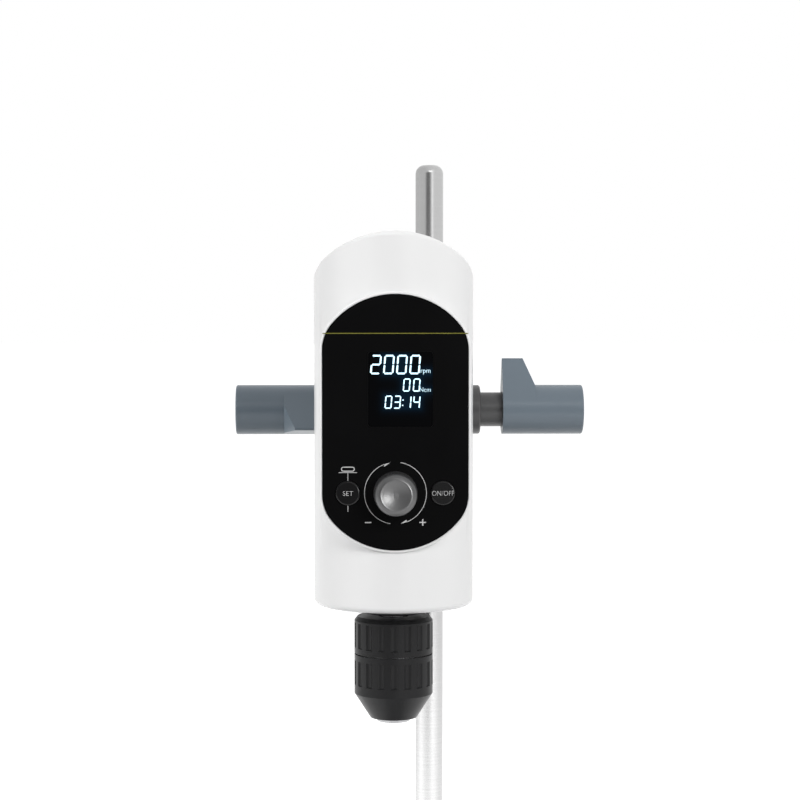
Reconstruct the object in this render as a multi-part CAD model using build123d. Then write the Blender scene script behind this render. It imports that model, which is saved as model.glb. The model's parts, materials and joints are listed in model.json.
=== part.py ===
from build123d import *
from math import asin, atan2, cos, pi, radians, sin, sqrt, tan
import os

# Overhead stirrer on a plate stand, millimetres.
# +Z is up and the operator stands on the -Y side. The origin is on the bench, under the middle of
# the base plate. The head is drawn about its own column axis, with z = 0 at its lower edge, and
# then placed: the drive, the controls and the chuck share that local frame.

# Clearances
RUNNING = 0.05          # radial play of a shaft in its bore
SLIDING = 0.1           # radial play of a rod in the clamp
SEAT = 0.2              # gap between a pressed or trapped piece and its pocket
PLAY = 0.3              # gap between curved faces of pieces that move apart
PAST = 1.0              # how far a cutter runs past the face that it cuts
EASE = 0.8              # chamfer on turned and milled edges

# Stand
BASE_WIDTH = 230.0
BASE_DEPTH = 320.0
BASE_THICKNESS = 10.0
BASE_CORNER = 20.0
BASE_EDGE = 1.2
FOOT_RADIUS = 12.0
FOOT_HEIGHT = 6.0
FOOT_STUB_RADIUS = 4.0
FOOT_STUB_HEIGHT = 5.0
FOOT_INSET = 20.0
ROD_RADIUS = 8.0
ROD_INSET = 42.0        # rod axis in from the rear edge of the base
ROD_Y = BASE_DEPTH / 2 - ROD_INSET
ROD_TOP = 600.0
ROD_END_ROUND = 5.0
ROD_BOSS_RADIUS = 20.0
ROD_BOSS_HEIGHT = 22.0
ROD_BOSS_WELD = 3.0
ROD_BOSS_CHAMFER = 2.0
ROD_SCREW_RADIUS = 5.0
ROD_SCREW_LENGTH = 30.0
ROD_SCREW_HEAD_RADIUS = 8.0
ROD_SCREW_HEAD_HEIGHT = 3.8
ROD_WASHER_RADIUS = 10.0
ROD_WASHER_HEIGHT = 1.6
ROD_WASHER_ROOM = 1.0
ROD_THREAD_RUNOUT = 2.0
ROD_SCREW_POCKET_DEPTH = 6.0

# Head housing
HEAD_RADIUS = 42.0      # round column at the front
HEAD_BACK = 63.0        # column axis to the rear wall
HEAD_CORNER = 12.0
HEAD_HEIGHT = 196.0
HEAD_RISE = 28.0        # height of the arched top above its springing line
HEAD_HAUNCH = 20.0      # side radius of the arch
VAULT_SPREAD = 0.5      # how far the arch's springing stands outside the side walls
HEAD_WALL = 3.0
HEAD_TOP_ROUND = 2.5
HEAD_BOTTOM_ROUND = 3.5
HEAD_SEAM = 8.0         # column axis to the parting line between the shells
SEAM_GAP = 0.2
COLUMN_X = -23.0
COLUMN_TO_ROD = 106.0   # along Y, set by the support arm
COLUMN_Y = ROD_Y - COLUMN_TO_ROD
HEAD_LOW = 361.0
AXIS_HEIGHT = 98.0      # arm and clamp screws above the head's lower edge
TOWER_X = 35.3
TOWER_HEIGHTS = (30.0, 156.0)
TOWER_RADIUS = 4.5
TOWER_HEAD_BORE = 3.1
TOWER_SCREW_BORE = 1.75
TOWER_FRONT_LENGTH = 14.0
TOWER_SEAT = 6.0        # thickness left under the screw head
TOWER_FLOOR = 2.0
BOSS_FLOOR = 1.0
SCREW_BEYOND = 3.0      # screw length past the wall that it clamps
SCREW_SHORT = 3.0       # screw tip short of the far end of its tower
VENT_COUNT = 6
VENT_LENGTH = 40.0
VENT_HEIGHT = 2.5
VENT_PITCH = 6.0
VENT_LOW = 126.0

# Control panel on its raised bezel
PANEL_HALF_WIDTH = 37.2
PANEL_LOW = 33.2
PANEL_HIGH = 163.8
PANEL_RISE = 28.3
PANEL_HAUNCH = 20.3
PANEL_THICKNESS = 2.0
PANEL_PROUD = 0.5
PANEL_GAP = 0.15
BEZEL_MARGIN = 1.4
BEZEL_PROUD = 1.5       # flat bezel face in front of the round column
BEZEL_ROUND = 0.8
BEZEL_FLOOR = 2.0       # wall behind the panel
BEZEL_ROOT = 5.0        # how far behind the bezel's face line its side walls run
WINDOW_X = 2.55
WINDOW_Z = 115.4
WINDOW_WIDTH = 32.9
WINDOW_HEIGHT = 38.0
WINDOW_CORNER = 1.5
LENS_GAP = 0.1
CONTROL_Z = 62.5        # knob and buttons
BUTTON_X = 24.2
BUTTON_RADIUS = 6.2
BUTTON_PROUD = 1.2
BUTTON_EDGE = 0.7
BUTTON_GAP = 0.15
BUTTON_FLANGE_RADIUS = 7.4
BUTTON_FLANGE = 1.0
BUTTON_TRAVEL = 1.0
BUTTON_STEM_RADIUS = 2.0
CONTROL_KNOB_RADIUS = 11.2
CONTROL_KNOB_DRAFT = 0.5
CONTROL_KNOB_LENGTH = 14.7
CONTROL_KNOB_ROUND = 3.2
CONTROL_KNOB_WALL = 1.8
CONTROL_KNOB_RECESS = 6.0
CONTROL_KNOB_HUB = 5.0
CONTROL_KNOB_HUB_LIFT = 0.5
CONTROL_SHAFT_RADIUS = 3.0
CONTROL_SHAFT_FLAT = 1.5
CONTROL_SHAFT_LENGTH = 18.0
CONTROL_FLAT_START = 2.0
ENCODER_BUSH_RADIUS = 3.6
ENCODER_SIZE = 13.0
ENCODER_DEPTH = 6.5
ENCODER_BORE_DEPTH = 3.0
BOARD_THICKNESS = 1.6
BOARD_GAP = 9.0         # bezel floor to the control board
BOARD_INSET = 4.0
BOARD_SCREW_HEAD = 1.0
STANDOFF_RADIUS = 3.0
STANDOFF_SPOTS = ((-29.0, 82.0), (29.0, 82.0), (-29.0, 133.0), (29.0, 133.0), (-13.0, 46.0), (13.0, 46.0))
SWITCH_SIZE = 6.0
SWITCH_DEPTH = 3.5
SWITCH_CAP_RADIUS = 1.75
SWITCH_CAP_HEIGHT = 1.0

# Small screws: shank radius, head radius, head height
M3 = (1.5, 2.75, 2.4)
M4 = (2.0, 3.5, 2.8)
SOCKET_DEPTH_SHARE = 0.5

# Bottom plate, bearing housing and spindle
BOTTOM_LIFT = 1.0
BOTTOM_THICKNESS = 6.0
BOTTOM_BOSS_RADIUS = 4.0
BOTTOM_BOSS_HEIGHT = 12.0
BOTTOM_SCREW_BITE = 4.0
BOTTOM_BOSS_SPOTS = ((-23.1, -27.5), (23.1, -27.5), (-34.0, 55.0), (34.0, 55.0))
BEARING_OUTER = 13.0
BEARING_INNER = 5.0
BEARING_HEIGHT = 8.0
BEARING_HOUSING_RADIUS = 17.0
BEARING_HOUSING_LOW = -4.5
BEARING_HOUSING_HIGH = 40.0
BEARING_FLANGE_RADIUS = 24.0
BEARING_FLANGE_HEIGHT = 5.0
BEARING_SCREW_CIRCLE = 20.5
BEARING_POCKET_LIP = 0.8
BEARING_SHOULDER = 2.0
BEARING_SCREW_SHORT = 1.0
SHIELD_SHARE = 0.25     # of the ring width, left plain at each side of the shield
SHIELD_DEPTH = 0.4
SPINDLE_SHOULDER_RADIUS = 6.5
SPINDLE_TOP = 62.5
COUPLING_RADIUS = 11.0
COUPLING_LOW = 52.0
COUPLING_HEIGHT = 24.0
COUPLING_GAP = 1.0      # between the shaft ends inside the coupling

# Motor
MOTOR_PLATE_LOW = 90.0
MOTOR_PLATE_THICKNESS = 4.0
MOTOR_PLATE_FRONT = 27.0
POST_RADIUS = 4.0
POST_SPOTS = ((-27.0, -12.0), (27.0, -12.0), (-22.0, 38.0), (22.0, 38.0))
MOTOR_RADIUS = 25.0
MOTOR_HEIGHT = 60.0
MOTOR_WALL = 2.5
MOTOR_CAP = 5.0
MOTOR_EDGE = 1.5
MOTOR_END_WALL = 1.0
MOTOR_SHAFT_ROOM = 1.5
MOTOR_SCREW_SHORT = 1.0
MOTOR_PILOT_RADIUS = 11.0
MOTOR_PILOT_HEIGHT = 3.0
MOTOR_SCREW_CIRCLE = 17.0
MOTOR_SHAFT_RADIUS = 4.0
MOTOR_BEARING_RADIUS = 8.0
MOTOR_BEARING_HEIGHT = 4.0
ROTOR_RADIUS = 15.0
ROTOR_LENGTH = 36.0
AIR_GAP = 0.5
STATOR_LENGTH = 40.0

# Drive board and power inlet at the rear
DRIVE_BOARD_WIDTH = 54.0
DRIVE_BOARD_HEIGHT = 34.0
DRIVE_BOARD_LOW = 50.0
DRIVE_BOARD_STANDOFF = 8.4
CAPACITOR_RADIUS = 4.5
CAPACITOR_HEIGHT = 9.0
CAPACITOR_X = 10.0
CAPACITOR_RISE = 8.0    # above the middle of the board
HEAT_SINK_SIZE = (22.0, 6.0, 14.0)
HEAT_SINK_DROP = 8.0    # below the middle of the board
INLET_Z = 30.0
INLET_WIDTH = 27.4
INLET_HEIGHT = 20.0
INLET_CORNER = 1.5
INLET_DEPTH = 22.0
INLET_FLANGE_WIDTH = 50.0
INLET_FLANGE_HEIGHT = 23.0
INLET_FLANGE_CORNER = 3.0
INLET_FLANGE = 2.6
INLET_CAVITY = (24.4, 16.4, 16.5)
INLET_CAVITY_CORNER = 4.0
INLET_PIN = (2.0, 4.0)
INLET_PIN_REACH = 11.0
INLET_PIN_SPOTS = ((-7.0, -2.0), (7.0, -2.0), (0.0, 2.0))
INLET_SCREW_X = 20.0

# Support arm and its flange
ARM_RADIUS = 7.0
ARM_OVERHANG = 40.0     # rod axis to the free end of the arm
ARM_END = COLUMN_TO_ROD + ARM_OVERHANG
ARM_END_ROUND = 1.5
ARM_FLANGE_RADIUS = 23.0
ARM_FLANGE = 10.0
ARM_FLANGE_ROUND = 1.5
ARM_FLANGE_SCREW_CIRCLE = 16.5
ARM_SOCKET_FLOOR = 1.0

# Clamp on the rod
CLAMP_HALF = 33.0
CLAMP_DEPTH = 36.0
CLAMP_HEIGHT = 40.0
CLAMP_ROUND = 4.0
BUSH_RADIUS = 14.15
BUSH_FLANGE = 7.7
BUSH_NECK_RADIUS = 9.9
BUSH_NECK_END = 61.5
BUSH_SPIGOT_RADIUS = 9.0
BUSH_SPIGOT = 9.0
STUD_RADIUS = 5.0
CLAMP_KNOB_NEAR = 53.5
CLAMP_KNOB_FAR = 100.1
CLAMP_KNOB_RADIUS = 14.25
CLAMP_KNOB_ROUND = 1.0
CLAMP_KNOB_RECESS = 10.0
CLAMP_KNOB_RECESS_RADIUS = 10.4
STUD_SEAT = 38.0        # length of the stud inside its knob
WING_REACH = 29.7
WING_TIP_RADIUS = 1.0
WING_ROOT_LENGTH = 18.8
WING_TIP_LENGTH = 12.1
ROD_WING_TURN = 90.0    # wing upwards
ARM_WING_TURN = -19.5   # wing towards the operator and a little down

# Keyless chuck, measured down from its top face
CHUCK_TOP = 6.5         # below the head's lower edge
CHUCK_RADIUS = 20.8
CHUCK_TOP_CHAMFER = (1.7, 2.0)
REAR_SLEEVE_LENGTH = 19.5
REAR_SLEEVE_ROOF = 2.4
ROOF_GAP = 1.5          # sleeve roof round the spindle
SLEEVE_WALL = 2.4
SLEEVE_GAP = 0.6
FRONT_SLEEVE_STRAIGHT = 41.0
FRONT_SLEEVE_END = 54.0
FRONT_SLEEVE_END_RADIUS = 12.4
FRONT_SLEEVE_END_WALL = 1.8
FRONT_SLEEVE_CONE_DROP = 3.0
FLUTE_COUNT = 18
FLUTE_RADIUS = 2.6
FLUTE_DEPTH = 0.9
FLUTE_MARGIN = 3.1
FRONT_FLUTE_LENGTH = 13.0
CHUCK_HUB_TOP = 2.6
CHUCK_NOSE = 56.0
CHUCK_NOSE_RADIUS = 8.6
CHUCK_BORE = 5.3
CHUCK_BORE_TOP = 20.0
CHUCK_BORE_CHAMFER = 0.8
CHUCK_BORE_RELIEF = 0.35
CHUCK_GUIDE = 49.6       # the unrelieved guide bore runs from here to the nose
THREAD_RADIUS = 4.75
THREAD_DEPTH = 16.0
NUT_LOW = 22.0
NUT_HIGH = 31.0
NUT_FLOOR_RADIUS = 9.9
NUT_SPLIT = 0.4
BODY_CONE_START = 33.0
JAW_COUNT = 3
JAW_TILT = 15.0
JAW_RADIUS = 3.2
JAW_LENGTH = 36.0
JAW_GRIP = 18.0         # length of the gripping face
JAW_OPEN = 5.3          # chuck axis to the gripping face at rest
JAW_EDGE = 0.25         # gripping face behind the wedge's edge
JAW_TIP = 42.0          # jaw tips at rest, fully open
JAW_PLAY = 0.1

HEAD = Pos(COLUMN_X, COLUMN_Y, HEAD_LOW)
FACE = -(HEAD_RADIUS + BEZEL_PROUD)             # bezel's front face
PANEL_FRONT = FACE - PANEL_PROUD
PANEL_SEAT = PANEL_FRONT + PANEL_THICKNESS
BEZEL_INSIDE = PANEL_SEAT + BEZEL_FLOOR
BOARD_FRONT = BEZEL_INSIDE + BOARD_GAP
BOARD_BACK = BOARD_FRONT + BOARD_THICKNESS
BASE_TOP = FOOT_HEIGHT + BASE_THICKNESS
CLAMP_X = COLUMN_X / 2
CLAMP_HEART = Pos(CLAMP_X, ROD_Y, HEAD_LOW + AXIS_HEIGHT)
INSIDE_BACK = HEAD_BACK - HEAD_WALL
BOTTOM_TOP = BOTTOM_LIFT + BOTTOM_THICKNESS
MOTOR_LOW = MOTOR_PLATE_LOW + MOTOR_PLATE_THICKNESS
MOTOR_HIGH = MOTOR_LOW + MOTOR_HEIGHT
MOTOR_MIDDLE = (MOTOR_LOW + MOTOR_HIGH) / 2
PARTS = {}


def keep(name, *shapes):
    """Stores a node, as one solid or as a group of separate ones."""
    solids = [solid for shape in shapes for solid in shape.solids()]
    PARTS[name] = solids[0] if len(solids) == 1 else Compound(solids)


# ---- shared forms -------------------------------------------------------------------------------

def rod_z(radius, low, high):
    """Upright cylinder from one height to another."""
    return Pos(0, 0, (low + high) / 2) * Cylinder(radius, high - low)


def rod_y(radius, front, back):
    """Cylinder along Y from one place to another."""
    return Pos(0, (front + back) / 2, 0) * Rot(X=90) * Cylinder(radius, back - front)


def rod_x(radius, near, far):
    """Cylinder along X from one place to another."""
    return Pos((near + far) / 2, 0, 0) * Rot(Y=90) * Cylinder(radius, far - near)


def ring_z(outer, inner, low, high):
    """Upright ring with a plain bore."""
    return rod_z(outer, low, high) - rod_z(inner, low - PAST, high + PAST)


def turned(points):
    """Solid of revolution about Z from its half section, given as radius and height."""
    return revolve(make_face(Plane.XZ * Polyline(*points, close=True)), Axis.Z)


def screw_z(size, length, lift=0.0):
    """Cap screw along Z with its head above z = lift and its shank below."""
    shank, head, head_height = size
    body = rod_z(shank, lift - length, lift) + rod_z(head, lift, lift + head_height)
    key = extrude(RegularPolygon(head * 0.5, 6), head_height)
    return body - Pos(0, 0, lift + head_height * SOCKET_DEPTH_SHARE) * key


def screw_y(size, length):
    """Cap screw along Y with its head behind y = 0 and its shank in front."""
    return Rot(X=-90) * screw_z(size, length)


def arch_points(half, rise, haunch):
    """Crown tangent point and haunch midpoint of a three-centred arch above its springing line."""
    crown = ((half - haunch) ** 2 + rise ** 2 - haunch ** 2) / (2 * (rise - haunch))
    angle = atan2(crown - rise, half - haunch)
    joint = (crown * cos(angle), rise - crown + crown * sin(angle))
    middle = (half - haunch + haunch * cos(angle / 2), haunch * sin(angle / 2))
    return joint, middle


def arch_line(half, rise, haunch, spring, up=1):
    """Three arcs from the right springing point over the crown to the left one."""
    (joint_x, joint_z), (middle_x, middle_z) = arch_points(half, rise, haunch)
    joint_z = spring + up * joint_z
    middle_z = spring + up * middle_z
    right = ThreePointArc((half, spring), (middle_x, middle_z), (joint_x, joint_z))
    crown = ThreePointArc((joint_x, joint_z), (0, spring + up * rise), (-joint_x, joint_z))
    left = ThreePointArc((-joint_x, joint_z), (-middle_x, middle_z), (-half, spring))
    return right + crown + left


def upright_face(line):
    """Face in the XZ plane from a closed line drawn in X and Z."""
    return make_face(Plane.XZ * line)


def panel_shape(margin, front, back):
    """Slab with the panel's outline grown by a margin, between two places along Y."""
    half = PANEL_HALF_WIDTH + margin
    rise = PANEL_RISE + margin
    haunch = PANEL_HAUNCH + margin
    low_spring = PANEL_LOW + PANEL_RISE
    high_spring = PANEL_HIGH - PANEL_RISE
    line = arch_line(half, rise, haunch, high_spring)
    line += Line((-half, high_spring), (-half, low_spring))
    line += arch_line(half, rise, haunch, low_spring, up=-1)
    line += Line((half, low_spring), (half, high_spring))
    return Pos(0, front, 0) * extrude(upright_face(line), back - front, dir=(0, 1, 0))


def head_outline(inset):
    """Plan of the head: round in front, straight sides, rounded rear corners."""
    radius = HEAD_RADIUS - inset
    back = HEAD_BACK - inset
    plan = Circle(radius) + Pos(0, back / 2) * Rectangle(2 * radius, back)
    rear = [corner for corner in plan.vertices() if corner.Y > back / 2]
    return fillet(rear, HEAD_CORNER - inset)


def head_form(inset):
    """Column with the arched top, drawn inside the outer surface by an inset."""
    half = HEAD_RADIUS + VAULT_SPREAD - inset
    spring = HEAD_HEIGHT - HEAD_RISE
    line = arch_line(half, HEAD_RISE - inset, HEAD_HAUNCH - inset, spring)
    line += Polyline((-half, spring), (-half, inset), (half, inset), (half, spring))
    vault = extrude(upright_face(line), 2 * HEAD_BACK, both=True)
    return extrude(head_outline(inset), HEAD_HEIGHT) & vault


def slice_y(front, back):
    """Large block between two places along Y, for cutting the head."""
    wide = 4 * HEAD_BACK
    return Pos(0, (front + back) / 2, HEAD_HEIGHT / 2) * Box(wide, back - front, 2 * wide)


# ---- stand --------------------------------------------------------------------------------------

def foot_places():
    """The four feet, in from the corners of the base plate."""
    x = BASE_WIDTH / 2 - FOOT_INSET
    y = BASE_DEPTH / 2 - FOOT_INSET
    return [Pos(x * i, y * j, 0) for i in (-1, 1) for j in (-1, 1)]


def make_stand():
    plate = extrude(RectangleRounded(BASE_WIDTH, BASE_DEPTH, BASE_CORNER), BASE_THICKNESS)
    plate = Pos(0, 0, FOOT_HEIGHT) * chamfer(plate.faces().sort_by(Axis.Z)[-1].edges(), BASE_EDGE)
    for place in foot_places():
        plate -= place * rod_z(FOOT_STUB_RADIUS + RUNNING, 0, FOOT_HEIGHT + FOOT_STUB_HEIGHT + SEAT)
    at_rod = Pos(0, ROD_Y, 0)
    pocket_top = FOOT_HEIGHT + ROD_SCREW_POCKET_DEPTH
    plate -= at_rod * rod_z(ROD_WASHER_RADIUS + ROD_WASHER_ROOM, 0, pocket_top)
    plate -= at_rod * rod_z(ROD_SCREW_RADIUS + SEAT, 0, BASE_TOP + PAST)
    keep("base_plate", plate)
    feet = []
    for place in foot_places():
        pad = rod_z(FOOT_RADIUS, 0, FOOT_HEIGHT)
        pad = chamfer(pad.edges().group_by(Axis.Z)[0], EASE)
        feet.append(place * (pad + rod_z(FOOT_STUB_RADIUS, 0, FOOT_HEIGHT + FOOT_STUB_HEIGHT)))
    keep("base_feet", *feet)
    boss_top = BASE_TOP + ROD_BOSS_HEIGHT
    bore = ROD_RADIUS + RUNNING
    boss = turned([(bore, BASE_TOP), (ROD_BOSS_RADIUS + ROD_BOSS_WELD, BASE_TOP),
                   (ROD_BOSS_RADIUS, BASE_TOP + ROD_BOSS_WELD),
                   (ROD_BOSS_RADIUS, boss_top - ROD_BOSS_CHAMFER),
                   (ROD_BOSS_RADIUS - ROD_BOSS_CHAMFER, boss_top), (bore, boss_top)])
    keep("rod_boss", at_rod * boss)
    shaft = rod_z(ROD_RADIUS, BASE_TOP, ROD_TOP)
    shaft = fillet(shaft.edges().group_by(Axis.Z)[-1], ROD_END_ROUND)
    thread_top = pocket_top - ROD_WASHER_HEIGHT + ROD_SCREW_LENGTH
    shaft -= rod_z(ROD_SCREW_RADIUS + RUNNING, BASE_TOP - PAST, thread_top + ROD_THREAD_RUNOUT)
    keep("stand_rod", at_rod * shaft)
    under = pocket_top - ROD_WASHER_HEIGHT
    keep("rod_washer", at_rod * ring_z(ROD_WASHER_RADIUS, ROD_SCREW_RADIUS + SEAT, under, pocket_top))
    size = (ROD_SCREW_RADIUS, ROD_SCREW_HEAD_RADIUS, ROD_SCREW_HEAD_HEIGHT)
    keep("rod_screw", at_rod * Pos(0, 0, under) * Rot(X=180) * screw_z(size, ROD_SCREW_LENGTH))


# ---- clamp --------------------------------------------------------------------------------------

def clamp_bush():
    """Flanged bush that carries a clamp screw, drawn along +X from the clamp's heart."""
    flange_end = CLAMP_HALF + BUSH_FLANGE
    flange = rod_x(BUSH_RADIUS, CLAMP_HALF, flange_end)
    flange = chamfer(flange.edges().group_by(Axis.X)[-1], EASE)
    bush = flange + rod_x(BUSH_NECK_RADIUS, flange_end, BUSH_NECK_END)
    bush += rod_x(BUSH_SPIGOT_RADIUS, CLAMP_HALF - BUSH_SPIGOT, CLAMP_HALF)
    return bush - rod_x(STUD_RADIUS + RUNNING, 0, BUSH_NECK_END + PAST)


def clamp_stud(held_radius):
    """Threaded stud from the rod that it presses to its seat in the knob, along +X."""
    tip = -COLUMN_X / 2 + held_radius + PLAY
    stud = rod_x(STUD_RADIUS, tip, CLAMP_KNOB_NEAR + STUD_SEAT)
    return chamfer(stud.edges().group_by(Axis.X)[0], EASE)


def clamp_knob():
    """Round knob with one tapering wing that points along +Y, drawn along +X."""
    barrel = rod_x(CLAMP_KNOB_RADIUS, CLAMP_KNOB_NEAR, CLAMP_KNOB_FAR)
    barrel = fillet(barrel.edges().group_by(Axis.X)[-1], CLAMP_KNOB_ROUND)
    tip_y = WING_REACH - WING_TIP_RADIUS
    lean = asin((CLAMP_KNOB_RADIUS - WING_TIP_RADIUS) / tip_y)
    touch = (CLAMP_KNOB_RADIUS * cos(lean), CLAMP_KNOB_RADIUS * sin(lean))
    end = (WING_TIP_RADIUS * cos(lean), tip_y + WING_TIP_RADIUS * sin(lean))
    section = make_face(Plane.YZ * Polyline((0, 0), (touch[1], touch[0]), (end[1], end[0]),
                                            (end[1], -end[0]), (touch[1], -touch[0]), close=True))
    section += Plane.YZ * Pos(tip_y, 0) * Circle(WING_TIP_RADIUS)
    wing = extrude(section, WING_ROOT_LENGTH, dir=(1, 0, 0))
    side = Polyline((0, 0), (WING_ROOT_LENGTH, 0), (WING_ROOT_LENGTH, CLAMP_KNOB_RADIUS),
                    (WING_TIP_LENGTH, WING_REACH), (0, WING_REACH), close=True)
    wing &= extrude(make_face(Plane.XY * side), CLAMP_KNOB_RADIUS, both=True)
    knob = barrel + Pos(CLAMP_KNOB_NEAR, 0, 0) * wing
    knob -= rod_x(CLAMP_KNOB_RECESS_RADIUS, CLAMP_KNOB_NEAR - PAST, CLAMP_KNOB_NEAR + CLAMP_KNOB_RECESS)
    return knob - rod_x(STUD_RADIUS + RUNNING, CLAMP_KNOB_NEAR, CLAMP_KNOB_NEAR + STUD_SEAT + SEAT)


def make_clamp():
    offset_x = -COLUMN_X / 2
    block = Box(2 * CLAMP_HALF, CLAMP_DEPTH, CLAMP_HEIGHT)
    block = fillet(block.edges().filter_by(Axis.X), CLAMP_ROUND)
    ends = block.faces().sort_by(Axis.X)
    block = chamfer(ends[0].edges() + ends[-1].edges(), EASE)
    block -= Pos(offset_x, 0, 0) * rod_z(ROD_RADIUS + SLIDING, -CLAMP_HEIGHT, CLAMP_HEIGHT)
    block -= Pos(-offset_x, 0, 0) * rod_y(ARM_RADIUS + SLIDING, -CLAMP_DEPTH, CLAMP_DEPTH)
    socket = rod_x(BUSH_SPIGOT_RADIUS + RUNNING, CLAMP_HALF - BUSH_SPIGOT - SEAT, CLAMP_HALF + PAST)
    for side in (Rot(Z=0), Rot(Z=180)):
        block -= side * socket
        block -= side * rod_x(STUD_RADIUS + SEAT, offset_x, CLAMP_HALF)
    keep("clamp_block", CLAMP_HEART * block)
    to_left = CLAMP_HEART * Rot(Z=180)
    keep("rod_clamp_bush", CLAMP_HEART * clamp_bush())
    keep("arm_clamp_bush", to_left * clamp_bush())
    keep("rod_clamp_stud", CLAMP_HEART * clamp_stud(ROD_RADIUS))
    keep("arm_clamp_stud", to_left * clamp_stud(ARM_RADIUS))
    keep("rod_clamp_knob", CLAMP_HEART * Rot(X=ROD_WING_TURN) * clamp_knob())
    keep("arm_clamp_knob", to_left * Rot(X=ARM_WING_TURN) * clamp_knob())


def make_arm():
    at_axis = Pos(0, 0, AXIS_HEIGHT)
    socket = HEAD_BACK + ARM_SOCKET_FLOOR
    arm = rod_y(ARM_RADIUS, socket + RUNNING, ARM_END)
    arm = fillet(arm.edges().group_by(Axis.Y)[-1], ARM_END_ROUND)
    keep("support_arm", HEAD * at_axis * arm)
    flange_back = HEAD_BACK + ARM_FLANGE
    flange = rod_y(ARM_FLANGE_RADIUS, HEAD_BACK, flange_back)
    flange = fillet(flange.edges().group_by(Axis.Y)[-1], ARM_FLANGE_ROUND)
    flange -= rod_y(ARM_RADIUS + RUNNING, socket, flange_back + PAST)
    shank, head_radius, head_height = M4
    screws = []
    for turn in flange_screw_turns():
        spot = Rot(Y=turn) * Pos(ARM_FLANGE_SCREW_CIRCLE, 0, 0)
        flange -= spot * rod_y(shank + SEAT, HEAD_BACK - PAST, flange_back)
        flange -= spot * rod_y(head_radius + SEAT, flange_back - head_height - SEAT, flange_back + PAST)
        seat = Pos(0, flange_back - head_height - SEAT, 0)
        screws.append(at_axis * spot * seat * screw_y(M4, flange_screw_length()))
    keep("arm_flange", HEAD * at_axis * flange)
    keep("arm_flange_screws", *[HEAD * screw for screw in screws])


def flange_screw_turns():
    """Directions of the flange screws round the arm."""
    return [45 + 90 * i for i in range(4)]


def flange_screw_length():
    """From the seat of the head through the flange and the rear wall."""
    return ARM_FLANGE - M4[2] - SEAT + HEAD_WALL + SCREW_BEYOND


# ---- housing ------------------------------------------------------------------------------------

def window(width, height, front, back):
    """Rounded rectangular block at the display's place, along Y."""
    face = Plane.XZ * Pos(WINDOW_X, WINDOW_Z) * RectangleRounded(width, height, WINDOW_CORNER)
    return Pos(0, front, 0) * extrude(face, back - front, dir=(0, 1, 0))


def button_places():
    """The left and the right button."""
    return [Pos(side * BUTTON_X, 0, CONTROL_Z) for side in (-1, 1)]


def tower_places():
    """The four screw towers that join the shells."""
    return [Pos(side * TOWER_X, 0, height) for side in (-1, 1) for height in TOWER_HEIGHTS]


def bottom_bosses(inside):
    """Blind bosses above the bottom plate, trimmed to the housing's wall."""
    bosses = []
    for x, y in BOTTOM_BOSS_SPOTS:
        top = BOTTOM_TOP + BOTTOM_BOSS_HEIGHT
        boss = rod_z(BOTTOM_BOSS_RADIUS, BOTTOM_TOP, top)
        boss -= rod_z(M3[0] + RUNNING, BOTTOM_TOP - PAST, top - BOSS_FLOOR)
        bosses.append((Pos(x, y, 0) * boss) & inside)
    return bosses


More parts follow.
